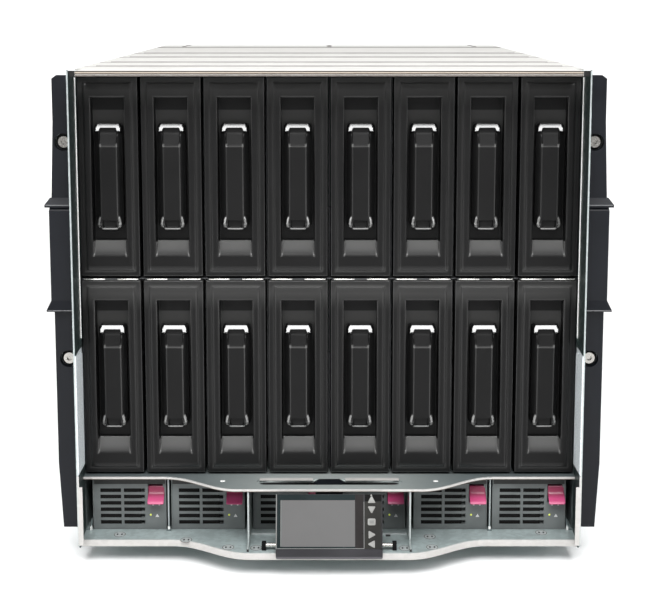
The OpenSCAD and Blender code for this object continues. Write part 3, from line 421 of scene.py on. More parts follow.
def grip_surface():
    """Front and back points of the grip, and the front's polish and painted light. Each level of the grip
    is one profile across it: a flat with sloping sides, set back at the nose and the foot,
    lowered inside the thumb dish and the foot recess. The back is a channel between rails."""
    across = both_sides([0, 2, 4, 5.2, 6, 6.6, 7, 7.4, 7.8, 8.2, 8.8, 9.4, 9.45, 9.55, 10.2, 10.6, 10.9,
                         11.3, 11.8, 12.3])
    rise = np.concatenate([[0, 0.25, 0.5, 0.9, 1.6, 2.2, 2.5, 2.8, 3.3, 3.6, 4.2, 5.2, 6, 7, 8, 9.1, 9.4, 9.7,
                            10.2, 11, 12, 13, 14, 16, 20], np.linspace(26, 68, 7)])
    drop = np.array([22, 21, 20.6, 20.3, 20, 19.4, 18.6, 17.5, 15, 12.5, 10.5, 9.6, 9.1, 8.6, 8, 7.6, 7.2,
                     6.9, 6.6, 6, 5, 4.2, 3.7, 3.5, 3.2, 3, 2.6, 2, 1.4, 0.8, 0.5, 0.25, 0])
    up = np.concatenate([GRIP_FOOT + rise, GRIP_HEAD - drop])
    x, z = np.meshgrid(across, up)
    rise, drop = z - GRIP_FOOT, GRIP_HEAD - z
    half = np.minimum(np.interp(drop, [0, 0.4, 1.2, 2.6], [9.6, 10.8, 11.7, 12.3]),
                      np.interp(rise, [0, 1, 6], [6.9, 8.4, 12.3]))
    x = x * half / 12.3
    reach = np.abs(x)
    nose = np.interp(drop, [0, 0.3, 0.5, 6.4, 7.4], [6.3, 4.9, 4.0, 1.02, 1.0])
    foot = np.interp(rise, [0, 0.4, 0.9, 6, 7], [6.2, 4.6, 3.4, 1.05, 1.0])
    nose_shoulder = np.interp(drop, [0, 0.6, 1.6, 2.6, 6.6, 7.8], [8.4, 9.3, 10.1, 10.5, 10.9, 7.2])
    foot_shoulder = np.interp(rise, [0, 1.5, 3, 6, 9.5, 12.5, 14], [4.6, 6.2, 7.8, 8.6, 8.0, 7.3, 7.2])
    shoulder = np.where(drop < 8, nose_shoulder, foot_shoulder)
    past = np.maximum(reach - shoulder, 0)
    foot_slope = np.interp(past, [0, 1.8, 6], [0, 1.0, 7.5])
    side_slope = np.interp(past, [0, 0.4, 6], [0, 0.25, 6.0])
    steep = np.where(drop < 7.8, 2.2 * past, np.where(rise < 14, foot_slope, side_slope))
    depth = np.minimum(np.maximum(nose, foot) + steep, GRIP_BACK - 0.1)
    dish_half = np.interp(drop, [3.6, 4.1, 6.8, 9, 17.5, 20.4], [6.4, 7.0, 8.1, 7.9, 7.5, 6.9])
    dish_deep = np.interp(drop, [3.7, 4.2, 8.0, 9.6, 19.4, 20.3], [0, 5.0, 5.0, 4.4, 1.9, 1.0])
    in_dish = np.clip((dish_half - reach) / 0.6, 0, 1) * (drop > 3.65)
    depth = depth + in_dish * np.maximum(dish_deep - depth, 0)
    recess_half = np.interp(rise, [2.6, 5.2], [5.0, 6.6])
    in_recess = (np.clip((recess_half - reach) / 0.5, 0, 1)
                 * np.interp(rise, [2.2, 2.8, 3.4, 9.3, 9.7], [0, 0.2, 1, 1, 0]))
    depth = depth + in_recess * np.maximum(4.4 - depth, 0)
    polish = outward(depth) * 0.5 * (1 - in_dish)
    arch = (drop < 7.6) & (drop > 0.2) & (reach < shoulder + 0.1) & (in_dish < 0.5)
    cup = (((rise > 3) & (rise < 12.5) & (past > 0) & (past < 1.9))
           | ((rise > 1.2) & (rise < 2.6) & (reach < 7)))
    polish[arch | cup] = 1
    crease = np.interp(np.abs(reach - shoulder), [0, 0.5], [1, 0]) * ((rise > 12) & (drop > 18))
    # painted light: the cup, the creases, the flat, and round the foot of the thumb dish are lightened,
    # standing for highlights
    painted_light = np.maximum.reduce([cup * 0.5, crease * np.where(x > 0, 0.12, 0.05),
                              0.009 * (past <= 0) * (in_dish < 0.5),
                              (np.abs(drop - 20.3) < 0.4) * (reach < 8) * 0.14,
                              (np.abs(drop - 19.6) < 1.2) * (np.abs(reach - 7.2) < 0.9) * 0.3])
    back = np.where(reach < HALF_TUNNEL, GRIP_BACK, POCKET_DEEP + 0.05)
    return np.stack([x, depth, z], 2), np.stack([x, back, z], 2), polish, painted_light


def tube_rings():
    """Rings of the box behind the face, from its front to its open back and in again along the
    wall; the side panels between the ribs are sunk by a millimetre."""
    half, low, high, wall, deep = HALF_FACE - 0.7, -1.7, FACE_H - 1, 2.2, 250.0
    panel = (deep - 44) / 3
    foot, head = 12, FACE_H - 12        # lower and upper end of the side panels
    # depth of each ring, how far its side panels are sunk, and how far it is drawn in: at the
    # open end first the sides only, and then all round by the thickness of the wall
    stations = [(FACE_BACK, 0, 0)]
    for k in range(3):
        first, last = 30 + k * panel, 22 + (k + 1) * panel
        stations += [(first, 0, 0), (first, 1, 0), (last, 1, 0), (last, 0, 0)]
    stations += [(deep - 8, 0, 0), (deep, 0, 1), (deep, 0, wall + 0.01), (FACE_BACK, 0, wall + 0.01)]
    rings = []
    for y, sunk, inset in stations:
        side = half - min(inset, wall)
        drawn = inset if inset > wall else 0
        bottom, top = low + drawn, high - drawn
        left = np.array([[-side, bottom], [-side, foot], [sunk - side, foot], [sunk - side, head],
                         [-side, head], [-side, top]])
        rim = np.concatenate([left, left[::-1] * (-1, 1)])
        rings.append(np.stack([rim[:, 0], np.full(RING, y), rim[:, 1]], 1))
    return np.array(rings)


face_points, face_polish, face_painted_light = face_surface()
front, back, grip_polish, grip_painted_light = grip_surface()
rings = tube_rings()
(face_rows, face_columns), (grip_rows, grip_columns) = face_polish.shape, grip_polish.shape
ring_count = len(rings)
blank_points = np.concatenate([part.reshape(-1, 3) for part in (face_points, front, back, rings)])
grip_start = face_polish.size
back_start = grip_start + grip_polish.size
ring_start = back_start + grip_polish.size
zeros_behind_grip = np.zeros(len(blank_points) - back_start)
blank_polish = np.concatenate([face_polish.ravel(), grip_polish.ravel(), zeros_behind_grip])
blank_painted_light = np.concatenate([face_painted_light.ravel(), grip_painted_light.ravel(), zeros_behind_grip])


def bridge(a, b):
    """Faces between two runs of points of equal length."""
    return np.stack([a[:-1], a[1:], b[1:], b[:-1]], 1)


loop = np.append(np.arange(RING), 0)
blank_faces = [quads(face_rows, face_columns), quads(grip_rows, grip_columns, grip_start),
               quads(grip_rows, grip_columns, back_start, turn=True)]
# once round the border of the grip, where its front and back are joined
grid = np.arange(grip_polish.size).reshape(grip_polish.shape)
border = np.concatenate([grid[0], grid[1:, -1], grid[-1, -2::-1], grid[-2::-1, 0]])
blank_faces.append(bridge(back_start + border, grip_start + border))
blank_faces += [bridge(ring_start + RING * k + loop, ring_start + RING * (k + 1) + loop)
                for k in range(ring_count - 1)]
blank_faces = [tuple(face) for face in np.concatenate(blank_faces)]
# the plates that close the back of the face and the front of the box
corner = (face_rows - 1) * face_columns
blank_faces.append((0, corner, corner + face_columns - 1, face_columns - 1))
blank_faces.append(tuple(ring_start + RING * (ring_count - 1) + np.arange(RING)))

for row in ("upper", "lower"):
    for number in range(1, 9):
        name = f"{row}_blank_{number}"
        low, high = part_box(name)
        foot_middle = np.array([(low.x + high.x) / 2, low.y, high.z - FACE_H * MM])
        shown = mesh_object(f"{name}_moulding", blank_points * MM + foot_middle, blank_faces, blank_plastic,
                            smooth=True)
        shown.data.set_sharp_from_angle(angle=math.radians(44))
        shown.data.attributes.new("polish", "FLOAT", "POINT").data.foreach_set("value", blank_polish)
        shown.data.attributes.new("painted_light", "FLOAT", "POINT").data.foreach_set("value", blank_painted_light)
        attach(shown, name)
        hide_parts(name)

# ------------------------------------------------------------------ folded edges
# The front edges of the sheets are folded hems and rolled lips. The fold breaks the zinc's
# spangle, so these edges are smoother than the sheets they belong to; their lighter colour is partly
# painted highlight, for the light that the rounded edges catch.
HALF_IN, HALF_BODY = 222.4, 223.6       # inside and outside of the side sheets
COVER_Z, BODY_H = 439.6, 442.0
FLOOR_Z, SHELF_TOP = 22.0, 74.5
CHEEK_Y = -37.0                         # front edge of the side sheets
HEM_R = 0.75                            # radius of the hem along a side sheet
BAY_HEM_R = 0.48                        # and of the hem beside the upper blades
RIGHT, BACK, UP = (1, 0, 0), (0, 1, 0), (0, 0, 1)
FORWARD = (0, -1, 0)


def closed_rings(count, ring):
    """Faces of count rings of points: each ring is joined to the next, and both ends are closed."""
    here, after = np.arange(ring), (np.arange(ring) + 1) % ring
    steps = np.arange(count - 1)[:, None] * ring
    walls = np.stack([steps + here, steps + after, steps + ring + after, steps + ring + here], 2)
    return [*map(tuple, walls.reshape(-1, 4)), tuple(here[::-1]), tuple(here + (count - 1) * ring)]


def carried(path, section, out, up):
    """Surface of a closed section carried along a path: every point is the path's point, plus
    the section's first number along out, plus its second along up. Both ends are closed."""
    path, section = np.asarray(path, float), np.asarray(section, float)
    out, up = np.broadcast_to(out, path.shape), np.broadcast_to(up, path.shape)
    points = path[:, None] + section[None, :, :1] * out[:, None] + section[None, :, 1:] * up[:, None]
    return points.reshape(-1, 3), closed_rings(len(path), len(section))


def build(name, surfaces, finish, body="chassis"):
    """One piece from surfaces given in millimetres from the blade faces' plane, turned to face
    outwards. It belongs to a material slot and rides on a body."""
    points, faces, start = [], [], 0
    for surface_points, surface_faces in surfaces:
        points.append(surface_points)
        faces += [tuple(int(i) + start for i in face) for face in surface_faces]
        start += len(surface_points)
    place = np.concatenate(points) * MM + (0, FACES_Y, 0)
    made = mesh_object(name, place, faces, finish, smooth=True)
    shape = bmesh.new()
    shape.from_mesh(made.data)
    bmesh.ops.recalc_face_normals(shape, faces=shape.faces)
    shape.to_mesh(made.data)
    shape.free()
    made.data.set_sharp_from_angle(angle=math.radians(40))
    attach(made, body)
    return made


def half_round(radius, length=0.0, steps=7):
    """Section of a half-round edge: an arc ahead of the line, and length behind it."""
    turn = np.linspace(-math.pi / 2, math.pi / 2, steps)
    arc = np.stack([np.cos(turn) * radius, np.sin(turn) * radius], 1)
    return np.concatenate([arc, [[-length, radius], [-length, -radius]]])


def plate(low, high, soft=0.15):
    """A box between two corners with its two upright front edges cut off by soft."""
    (x0, y0, z0), (x1, y1, z1) = low, high
    rim = [[x0 + soft, y0], [x1 - soft, y0], [x1, y0 + soft], [x1, y1], [x0, y1], [x0, y0 + soft]]
    return carried([[0, 0, z0], [0, 0, z1]], rim, RIGHT, BACK)


def mirrored(surface):
    points, faces = surface
    return points * (-1, 1, 1), faces


def pair(*surfaces):
    """The surfaces of the right side, and the same on the left."""
    return [*surfaces, *map(mirrored, surfaces)]


lip_zinc = zinc("lip_zinc", (0.43, 0.42, 0.405), contrast=0.04, metallic=0.1, rough=(0.4, 0.5), relief=0.05)
edge_zinc = zinc("edge_zinc", (0.40, 0.43, 0.43), contrast=0.06, metallic=0.3, rough=(0.3, 0.4), relief=0.05)
# painted highlight: near-white zinc for the bay hems, the shelf's rivets and the divider feet
painted_highlight_zinc = zinc("painted_highlight_zinc", (0.85, 0.85, 0.83), contrast=0.04, metallic=0.1, rough=(0.35, 0.45),
                   relief=0.05)
# painted shade: dark brown steel for the shadow under the shelf's lip and round the floor embosses
painted_shade_steel = zinc("painted_shade_steel", (0.10, 0.085, 0.075), spangle=900.0, contrast=0.2, metallic=0.3,
                 rough=(0.5, 0.6))

cheek_path = [[HALF_IN + 0.3, CHEEK_Y + HEM_R - 0.1, z] for z in (FLOOR_Z - 2, 120, 300, BODY_H - 0.6)]
bay_path = [[HALF_IN - 0.4, -2.1, z] for z in (SHELF_TOP + 123, 300, 434)]
cheek_hem = carried(cheek_path, half_round(HEM_R, 0.4), FORWARD, RIGHT)
bay_hem = carried(bay_path, half_round(BAY_HEM_R, 0.3), FORWARD, RIGHT)
flange = plate((218.7, CHEEK_Y - 0.05, FLOOR_Z - 1.5), (HALF_BODY - 0.1, CHEEK_Y + 0.9, SHELF_TOP - 0.3))
neck = plate((221.5, CHEEK_Y - 0.05, SHELF_TOP - 0.5), (HALF_BODY - 0.1, CHEEK_Y + 0.9, SHELF_TOP + 9.8))
build("cheek_hems", pair(cheek_hem), edge_zinc)
# the bay hems are painted near white: a painted highlight that also lifts them out of the shade beside the
# upper blades
build("bay_hems", pair(bay_hem), painted_highlight_zinc)
build("cheek_flanges", pair(flange, neck), lip_zinc)


def bulge(half, crest, shoulder, y_end, y_mid):
    """Plan of a bulging front edge: straight ends, a cosine shoulder, a straight middle; and
    the direction square to it."""
    x = np.linspace(-half, half, 181)
    turn = np.clip((np.abs(x) - crest) / (shoulder - crest), 0, 1) * math.pi
    y = y_mid + (y_end - y_mid) * (1 - np.cos(turn)) / 2
    slope = np.gradient(y, x)
    out = np.stack([slope, -np.ones_like(x), 0 * x], 1) / np.hypot(slope, 1)[:, None]
    return np.stack([x, y, 0 * x], 1), out


shelf_edge, shelf_out = bulge(HALF_IN - 0.2, 82, 148, -7.0, -43.5)
floor_edge, floor_out = bulge(HALF_IN - 0.4, 70, 140, -26.0, -61.07)
shelf_section = [[-0.6, -2.3], [0.05, -2.3], [0.12, -1.9], [0.12, -0.5], [0, -0.1], [-0.3, 0.06],
                 [-0.9, 0.06]]
floor_section = [[-0.6, -6.02], [0, -6.02], [0.12, -5.6], [0.12, -0.6], [0, -0.15], [-0.4, 0.06],
                 [-1.0, 0.06]]
# a brown strip under the shelf's lip is painted shade, the shadow under the lip
lip_shade_section = [[-0.6, -2.36], [0.12, -2.36], [0.2, -2.2], [0.2, -1.8], [-0.3, -1.7]]
for name, edge, out, height, section, finish in (
        ("shelf_lip", shelf_edge, shelf_out, SHELF_TOP, shelf_section, lip_zinc),
        ("shelf_lip_shade", shelf_edge, shelf_out, SHELF_TOP, lip_shade_section, painted_shade_steel),
        ("floor_lip", floor_edge, floor_out, FLOOR_Z, floor_section, lip_zinc)):
    build(name, [carried(edge + (0, 0, height), section, out, UP)], finish)

# ------------------------------------------------------------------ cover front
# The cover's front edge is folded down and back over a protective film. The film has aged
# to beige along the fold, its two cut edges are brown, and a black plate stands at each end of the fold.
COVER_HALF = 216.4                      # half the width of the cover's front edge
hem_film = Finish("hem_film", (0.40, 0.35, 0.29), Roughness=0.5, Specular_IOR_Level=0.1)
height = hem_film.axis(2)
cut = (hem_film.fade(height, 0.4397, 0.4400) + hem_film.fade(height, 0.4391, 0.4388)
       + hem_film.noise(60.0, 4.0) * 0.2)
hem_film.wire(Base_Color=hem_film.blend(cut, (0.42, 0.37, 0.31), (0.035, 0.025, 0.018)),
              Roughness=hem_film.fade(hem_film.noise(90.0), 0.3, 0.7, 0.42, 0.6),
              Normal=hem_film.bump(hem_film.noise(700.0, 2.0), 0.00003, 0.4))
hem_section = [[0, -1.35], [0.1, -1.3], [0.12, 0.9], [0, 1.15], [-0.4, 1.24], [-1.2, 1.24], [-1.2, -1.35]]
hem = carried([[-COVER_HALF, CHEEK_Y + 2, COVER_Z], [COVER_HALF, CHEEK_Y + 2, COVER_Z]], hem_section,
              FORWARD, UP)
build("cover_hem", [hem], hem_film)
hem_end_black = plastic("hem_end_black", (0.01, 0.01, 0.01), rough=(0.6, 0.7), Specular_IOR_Level=0.2)
hem_end = plate((COVER_HALF + 0.3, -35.9, COVER_Z - 3.4), (COVER_HALF + 5.2, -32, COVER_Z + 1.4))
build("hem_ends", pair(hem_end), hem_end_black)

# ------------------------------------------------------------------ bay clips
# Spring clips on the front edges of the bay plates press on the blades' faces to keep out
# radio noise. They are bright rolled strip, two to a bay, and one long one at the top.
PITCH = 55.6                            # from bay to bay
CLIP_Z = 254.75                         # front edge of the middle plate
CLIP_REST, CLIP_PROUD = 1.1, 0.4        # a clip's ends and its raised middle, behind the faces
STRIP_Y, STRIP_Z = -34.6, 437.1         # the strip under the cover's hem
clip_steel = zinc("clip_steel", (0.66, 0.65, 0.62), spangle=500.0, contrast=0.1, metallic=0.8,
                  rough=(0.25, 0.36))
clip_grey = zinc("clip_grey", (0.19, 0.18, 0.17), contrast=0.1, metallic=0.3, rough=(0.4, 0.5))
strip_steel = zinc("strip_steel", (0.13, 0.115, 0.105), spangle=500.0, contrast=0.15, metallic=0.3,
                   rough=(0.35, 0.5))
clips, top_clips = [], []
for bay in range(8):
    x = (bay - 3.5) * PITCH
    for first, last in ((-23.5, -5.2), (5.8, 24.4)):
        path = [[x + first, CLIP_REST, CLIP_Z], [x + first + 1.2, CLIP_PROUD, CLIP_Z],
                [x + last - 1.2, CLIP_PROUD, CLIP_Z], [x + last, CLIP_REST, CLIP_Z]]
        clips.append(carried(path, half_round(0.62, 0.6), FORWARD, UP))
    path = [[x + end, STRIP_Y - 0.6, STRIP_Z + 0.3] for end in (-4.5, 5.5)]
    top_clips.append(carried(path, half_round(0.75, 0.3), FORWARD, UP))
top_strip = carried([[0.2 - COVER_HALF, STRIP_Y, STRIP_Z], [COVER_HALF - 0.2, STRIP_Y, STRIP_Z]],
                    half_round(1.0, 0.6), FORWARD, UP)
build("bay_clips", clips, clip_steel)
build("top_strip", [top_strip], strip_steel)
build("top_clips", top_clips, clip_grey)

# ------------------------------------------------------------------ shelf and floor fittings
# The shelf and the floor carry pressed and riveted details: two rivets and two bare strips
# over the display's guide slot, and oval embosses with two holes each on the floor.


def stacked(profile, outline, centre=(0, 0, 0)):
    """Upright shape: an outline is drawn at each size and height of a profile. Both ends are
    closed."""
    profile = np.asarray(profile, float)
    flat = profile[:, None, :1] * outline
    tall = np.broadcast_to(profile[:, None, 1:], (*flat.shape[:2], 1))
    points = np.concatenate([flat, tall], 2).reshape(-1, 3) + centre
    return points, closed_rings(len(profile), len(outline))


def dome(profile, centre=(0, 0, 0), stretch=(1, 1), sides=16):
    """Upright turned shape: the profile's sizes are radii, stretched along x and y."""
    turn = np.arange(sides) * 2 * math.pi / sides
    return stacked(profile, np.stack([np.cos(turn), np.sin(turn)], 1) * stretch, centre)


def turned(surface, axis, place):
    """An upright shape laid over so that its top points along an axis, and moved to a place."""
    points, faces = surface
    x, y, z = points.T
    order = {"-y": (x, -z, y), "y": (x, z, y), "x": (z, y, x)}
    return np.stack(order[axis], 1) + place, faces


rivet = [[2.3, -0.1], [2.3, 0.08], [2.0, 0.18], [0.9, 0.2], [0.3, 0.2]]
# the strips lie over the rear of the slot, and the display's slider runs beneath them
guide_strip = plate((14.5, -17.6, SHELF_TOP - 0.04), (62.5, -10.4, SHELF_TOP + 0.2), 0.08)
build("guide_strips", pair(guide_strip), lip_zinc)
# the rivets are painted near white: painted highlight
build("shelf_fittings", pair(dome(rivet, (95.5, -19, SHELF_TOP))), painted_highlight_zinc)

EMBOSS_PLACES = ((-189.9, -11.3), (-128.3, -25.9), (-89.4, -45.5), (-64.5, -46.9),
                 (66.8, -47.6), (90.8, -17.3), (91.2, -45.0), (192.9, -6.2))
LONG_DIVIDER_X, SHORT_DIVIDER_X = 71.6, 146.4
emboss = [[1.0, -0.1], [1.0, 0.03], [0.94, 0.18], [0.84, 0.22], [0.74, 0.18], [0.66, 0.07], [0.3, 0.05]]
emboss_foot = [[1.0, -0.1], [1.0, 0.02], [0.9, 0.03]]
hole = [[1.05, 0], [1.0, 0.22], [0.2, 0.24]]
hole_black = Finish("hole_black", (0.012, 0.012, 0.012), Roughness=0.6)
hole_black.wire(Roughness=hole_black.fade(hole_black.noise(200.0), 0.3, 0.7, 0.5, 0.75))
ovals = [dome(emboss, (x, y, FLOOR_Z), (4.7, 6.0), 20) for x, y in EMBOSS_PLACES]
# painted shade: a dark ring round the foot of each emboss
oval_feet = [dome(emboss_foot, (x, y, FLOOR_Z), (5.3, 6.8), 20) for x, y in EMBOSS_PLACES]
# painted shade: black discs stand for the dark inside of the two holes in each emboss
holes = [dome(hole, (x + side * 2.0, y, FLOOR_Z), (0.8, 1.9), 10)
         for x, y in EMBOSS_PLACES for side in (-1, 1)]
# dark rivets at the feet of the long dividers, and a black plate of painted shade in a square notch beside
# the display's rod
holes += pair(plate((LONG_DIVIDER_X - 1.0, -57.4, FLOOR_Z - 0.05),
                    (LONG_DIVIDER_X + 1.0, -55.6, FLOOR_Z + 2.2)))
holes.append(plate((51.0, -17.0, FLOOR_Z - 0.05), (55.4, -10.5, FLOOR_Z + 0.1)))
build("floor_embosses", ovals, edge_zinc)
build("emboss_shade_rings", oval_feet, painted_shade_steel)
build("floor_holes", holes, hole_black)

# ------------------------------------------------------------------ divider edges
# The dividers between the power supplies are spot-welded sheet. Their front edges are bare,
# and a low joggle crosses the floor between the two long ones.
JOGGLE_HALF, JOGGLE_Y = 70.4, -11.3
joggle_section = [[-0.7, 0], [-0.6, 1.0], [0, 1.3], [0.6, 1.0], [0.7, 0]]
joggle_path = [[x, JOGGLE_Y, FLOOR_Z] for x in (-JOGGLE_HALF, JOGGLE_HALF)]
joggle = carried(joggle_path, joggle_section, BACK, UP)
uprights = [carried([[x, y, low], [x, y, high]], half_round(radius, 0.3), FORWARD, RIGHT)
            for x, y, low, high, radius in ((LONG_DIVIDER_X, -41.3, 27.5, 72.6, 0.5),
                                            (LONG_DIVIDER_X, -56.7, 22.2, 24.6, 0.5),
                                            (SHORT_DIVIDER_X, 0.1, 23.4, 72.6, 0.5),
                                            (217.15, 0.1, 22.2, 27, 0.65))]
build("divider_edges", [joggle, *pair(*uprights)], edge_zinc)
feet = [plate((x - 1.0, -0.5, FLOOR_Z + 0.1), (x + 1.0, 0.3, FLOOR_Z + 3.6))
        for x in (217.4, SHORT_DIVIDER_X, LONG_DIVIDER_X + 1.3)]
# the feet are painted near white: painted highlight
build("divider_feet", pair(*feet), painted_highlight_zinc)

# ------------------------------------------------------------------ rack ears
# Glass-filled nylon bezels cover the steel ears. Each rack screw sits in a deep recess on a
# black washer, and the ledges beside the finger hold are worn glossy along their front edges.
SCREW_X, SCREW_Z = 232.55, (184.15, 377.825)
LEDGES = ((322.9, 24.8), (229.0, 25.4))      # height and reach of the two ledges
LEDGE_Y = -14.0
washer = [[7.5, -0.3], [7.5, 0.1], [7.2, 0.3], [0.5, 0.32]]
washers = [turned(dome(washer, sides=24), "-y", (SCREW_X, 0, z)) for z in SCREW_Z]
build("ear_washers", pair(*washers), hole_black)
ledge_gloss = plastic("ledge_gloss", (0.05, 0.052, 0.056), rough=(0.25, 0.32), Specular_IOR_Level=0.6)
ledges = [carried([[HALF_BODY + 0.6, LEDGE_Y, z], [HALF_BODY + reach, LEDGE_Y, z]], half_round(0.55, 0.4),
                  FORWARD, UP) for z, reach in LEDGES]
build("ledge_edges", pair(*ledges), ledge_gloss)

# ------------------------------------------------------------------ power supply fronts
# A painted steel front with punched cooling slots; black plates in the slots are painted shade, the dark
# inside of the slots. The lamp and the fault window are small light pipes below the release latch.
PSU_X = (-182.2, -110.6, -36.0, 36.0, 110.6, 182.2)
PSU_FACE, PSU_Z = 3.0, 22.3             # plane of the front, and underside
PSU_HALF, PSU_H = 33.5, 47.6
SLOT_PITCH = 6.02
LATCH_X = 24.6                          # middle of the latch, from the middle of the front
lamp_amber = Finish("lamp_amber", (0.55, 0.6, 0.08), Roughness=0.25, Emission_Strength=0.35)
lamp_amber.wire(Emission_Color=lamp_amber.blend(lamp_amber.fade(lamp_amber.noise(800.0), 0.3, 0.7),
                                                (0.7, 0.75, 0.1), (0.5, 0.6, 0.08)),
                Roughness=lamp_amber.fade(lamp_amber.noise(300.0), 0.3, 0.7, 0.2, 0.3))
window_white = plastic("window_white", (0.5, 0.5, 0.5), rough=(0.3, 0.4), vary=0.05)
# black for the nylon rod blocks; in the cooling slots and the display's groove it is painted shade
shade_and_nylon_black = plastic("shade_and_nylon_black", (0.006, 0.006, 0.006), grain=900.0, depth=0.0001, rough=(0.85, 0.95),
                     Specular_IOR_Level=0.1)
rating_tape = plastic("rating_tape", (0.018, 0.019, 0.018), rough=(0.4, 0.5), Specular_IOR_Level=0.25)


def spread(across, rings):
    """Points of one ring of depths and heights for each place across."""
    wide = np.broadcast_to(across[:, None, None], (*rings.shape[:2], 1))
    return np.concatenate([wide, rings], 2).reshape(-1, 3)


def latch_surface():
    """The latch's outline in depth and height, carried across its width: an upright upper
    half, then a lower half that flares forward to a rounded lip. Near its ends the outline
    draws in towards its middle."""
    outline = np.array([[2.4, 1.6], [0.4, 1.6], [-2.4, 1.1], [-3.2, -0.4], [-3.4, -4.0], [-5.0, -6.3],
                        [-11.4, -10.0], [-13.2, -11.3], [-13.7, -12.2], [-13.3, -13.0], [-12.0, -12.8],
                        [-6.0, -9.2], [-1.0, -6], [2.0, -3], [3.6, 0.6]])
    across = np.array([-7.3, -7.1, -6.6, -6, -2, 2, 6, 6.6, 7.1, 7.3])
    inset = np.interp(np.abs(across), [6, 6.6, 7.1, 7.3], [0, 0.08, 0.35, 0.7])
    middle = np.array([-1.4, -4.0])
    toward = (middle - outline) / np.linalg.norm(middle - outline, axis=1)[:, None]
    rings = outline[None] + toward[None] * inset[:, None, None]
    return spread(across, rings), closed_rings(len(across), len(outline))


def front_plate(x, low, high):
    """A plate on a front: its corners' places across, behind the front and above the underside."""
    place = np.array([x, PSU_FACE, PSU_Z])
    return plate(place + low, place + high)


latch_points, latch_faces = latch_surface()
for number, x in enumerate(PSU_X, 1):
    body = f"psu_{number}"
    # painted shade: black plates sunk into the cooling slots
    slots = [front_plate(x, (21.0 * column - 26.8, 0.7, 4.6 + SLOT_PITCH * row),
                         (18.4 * column - 7.9, 1.4, 8.4 + SLOT_PITCH * row))
             for column in (0, 1) for row in range(6)]
    build(f"{body}_slot_shade", slots, shade_and_nylon_black, body)
    # the frame of the latch's pocket, then the raised rim at the sides and the foot
    rim = [front_plate(x, (14.7, -0.05, 21.8), (32.4, 1.5, 25.4)),
           front_plate(x, (14.7, -0.05, 25.2), (16.9, 1.5, 42.7)),
           front_plate(x, (-PSU_HALF, -0.35, 0.05), (1.2 - PSU_HALF, 0.6, PSU_H - 0.1)),
           front_plate(x, (PSU_HALF - 1.0, -0.2, 0.05), (PSU_HALF, 0.6, PSU_H - 0.1)),
           front_plate(x, (-PSU_HALF, -0.3, 0.05), (PSU_HALF, 0.6, 1.1))]
    build(f"{body}_rim", rim, supply_paint, body)
    tape = front_plate(x, (0.3 - PSU_HALF, -0.12, 42.6), (PSU_HALF - 0.3, 0.3, 47.4))
    build(f"{body}_tape", [tape], rating_tape, body)
    lamp = turned(dome([[0.9, -0.3], [0.9, 0.15], [0.65, 0.35], [0.2, 0.45]], sides=12), "-y",
                  (x + 19.1, PSU_FACE, PSU_Z + 13.4))
    build(f"{body}_lamp", [lamp], lamp_amber, body)
    mark = carried([[x + 25, PSU_FACE + 0.3, PSU_Z + 12.6], [x + 25, PSU_FACE - 0.15, PSU_Z + 12.6]],
                   [[-1.7, -1.2], [1.7, -1.2], [0, 1.7]], RIGHT, UP)
    ticks = [front_plate(x + LATCH_X + shift, (-0.8, -0.15, 22.3), (0.8, 0.1, 23.2)) for shift in (-3.2, 2.4)]
    build(f"{body}_window", [mark, *ticks], window_white, body)
    latch = latch_points + (x + LATCH_X, PSU_FACE + 3, PSU_Z + 39.5), latch_faces
    shown = build(f"{body}_release", [latch], latch_plastic, f"psu_latch_{number}")
    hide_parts(f"psu_latch_{number}")

# ------------------------------------------------------------------ display front
# A glass-filled nylon housing with a glossy window panel let into its front, rubber keys in
# their own field, and a rounded foot bar that the finger pulls.
LEAN = math.radians(18.4)
HINGE = np.array([0, -45.7, 66.6])
TOP, FRONT = 4.0, -4.0                  # upper end and front of the upright display, from its hinge
HALF_WINDOW = 45.6                      # half the width of the panel and the keys' field together
SCREEN_LEFT, SCREEN_RIGHT = -42.68, 22.68
PANEL_LEFT, PANEL_RIGHT = -HALF_WINDOW, 30.2
PANEL_LOW, PANEL_HIGH = -42.7, 3.7
KEY_X = 37.2


def leaned(surface):
    """Turn a shape drawn upright about the display's hinge to the lean of the display."""
    points, faces = surface
    x, y, z = points.T
    y, z = y * math.cos(LEAN) + z * math.sin(LEAN), z * math.cos(LEAN) - y * math.sin(LEAN)
    return np.stack([x, y, z], 1) + HINGE, faces


def on_front(name, sheets, finish):
    """A piece of thin plates on the display's front: their left, low, right and high ends, how far
    they stand proud, and how deep they are let in."""
    plates = [plate((left, FRONT - proud, low), (right, FRONT + deep, high))
              for left, low, right, high, proud, deep in sheets]
    build(name, [leaned(sheet) for sheet in plates], finish, "display")


panel_gloss_and_shadow = plastic("panel_gloss_and_shadow", (0.012, 0.018, 0.019), rough=(0.2, 0.28), depth=0.000005,
                      Specular_IOR_Level=0.2)
margin_gloss = plastic("margin_gloss", (0.017, 0.015, 0.015), rough=(0.25, 0.32), depth=0.000005,
                       Specular_IOR_Level=0.2)
key_field = plastic("key_field", (0.0085, 0.008, 0.006), grain=1100.0, depth=0.0001, rough=(0.45, 0.6),
                    vary=0.5, Specular_IOR_Level=0.3)
pale_grey = plastic("pale_grey", (0.16, 0.165, 0.16), rough=(0.3, 0.4), vary=0.05)
foot_plastic = plastic("foot_plastic", (0.038, 0.036, 0.044), rough=(0.28, 0.34), Specular_IOR_Level=0.7)
key_rubber = plastic("key_rubber", (0.235, 0.235, 0.225), grain=1500.0, depth=0.00008, rough=(0.5, 0.6),
                     vary=0.2)
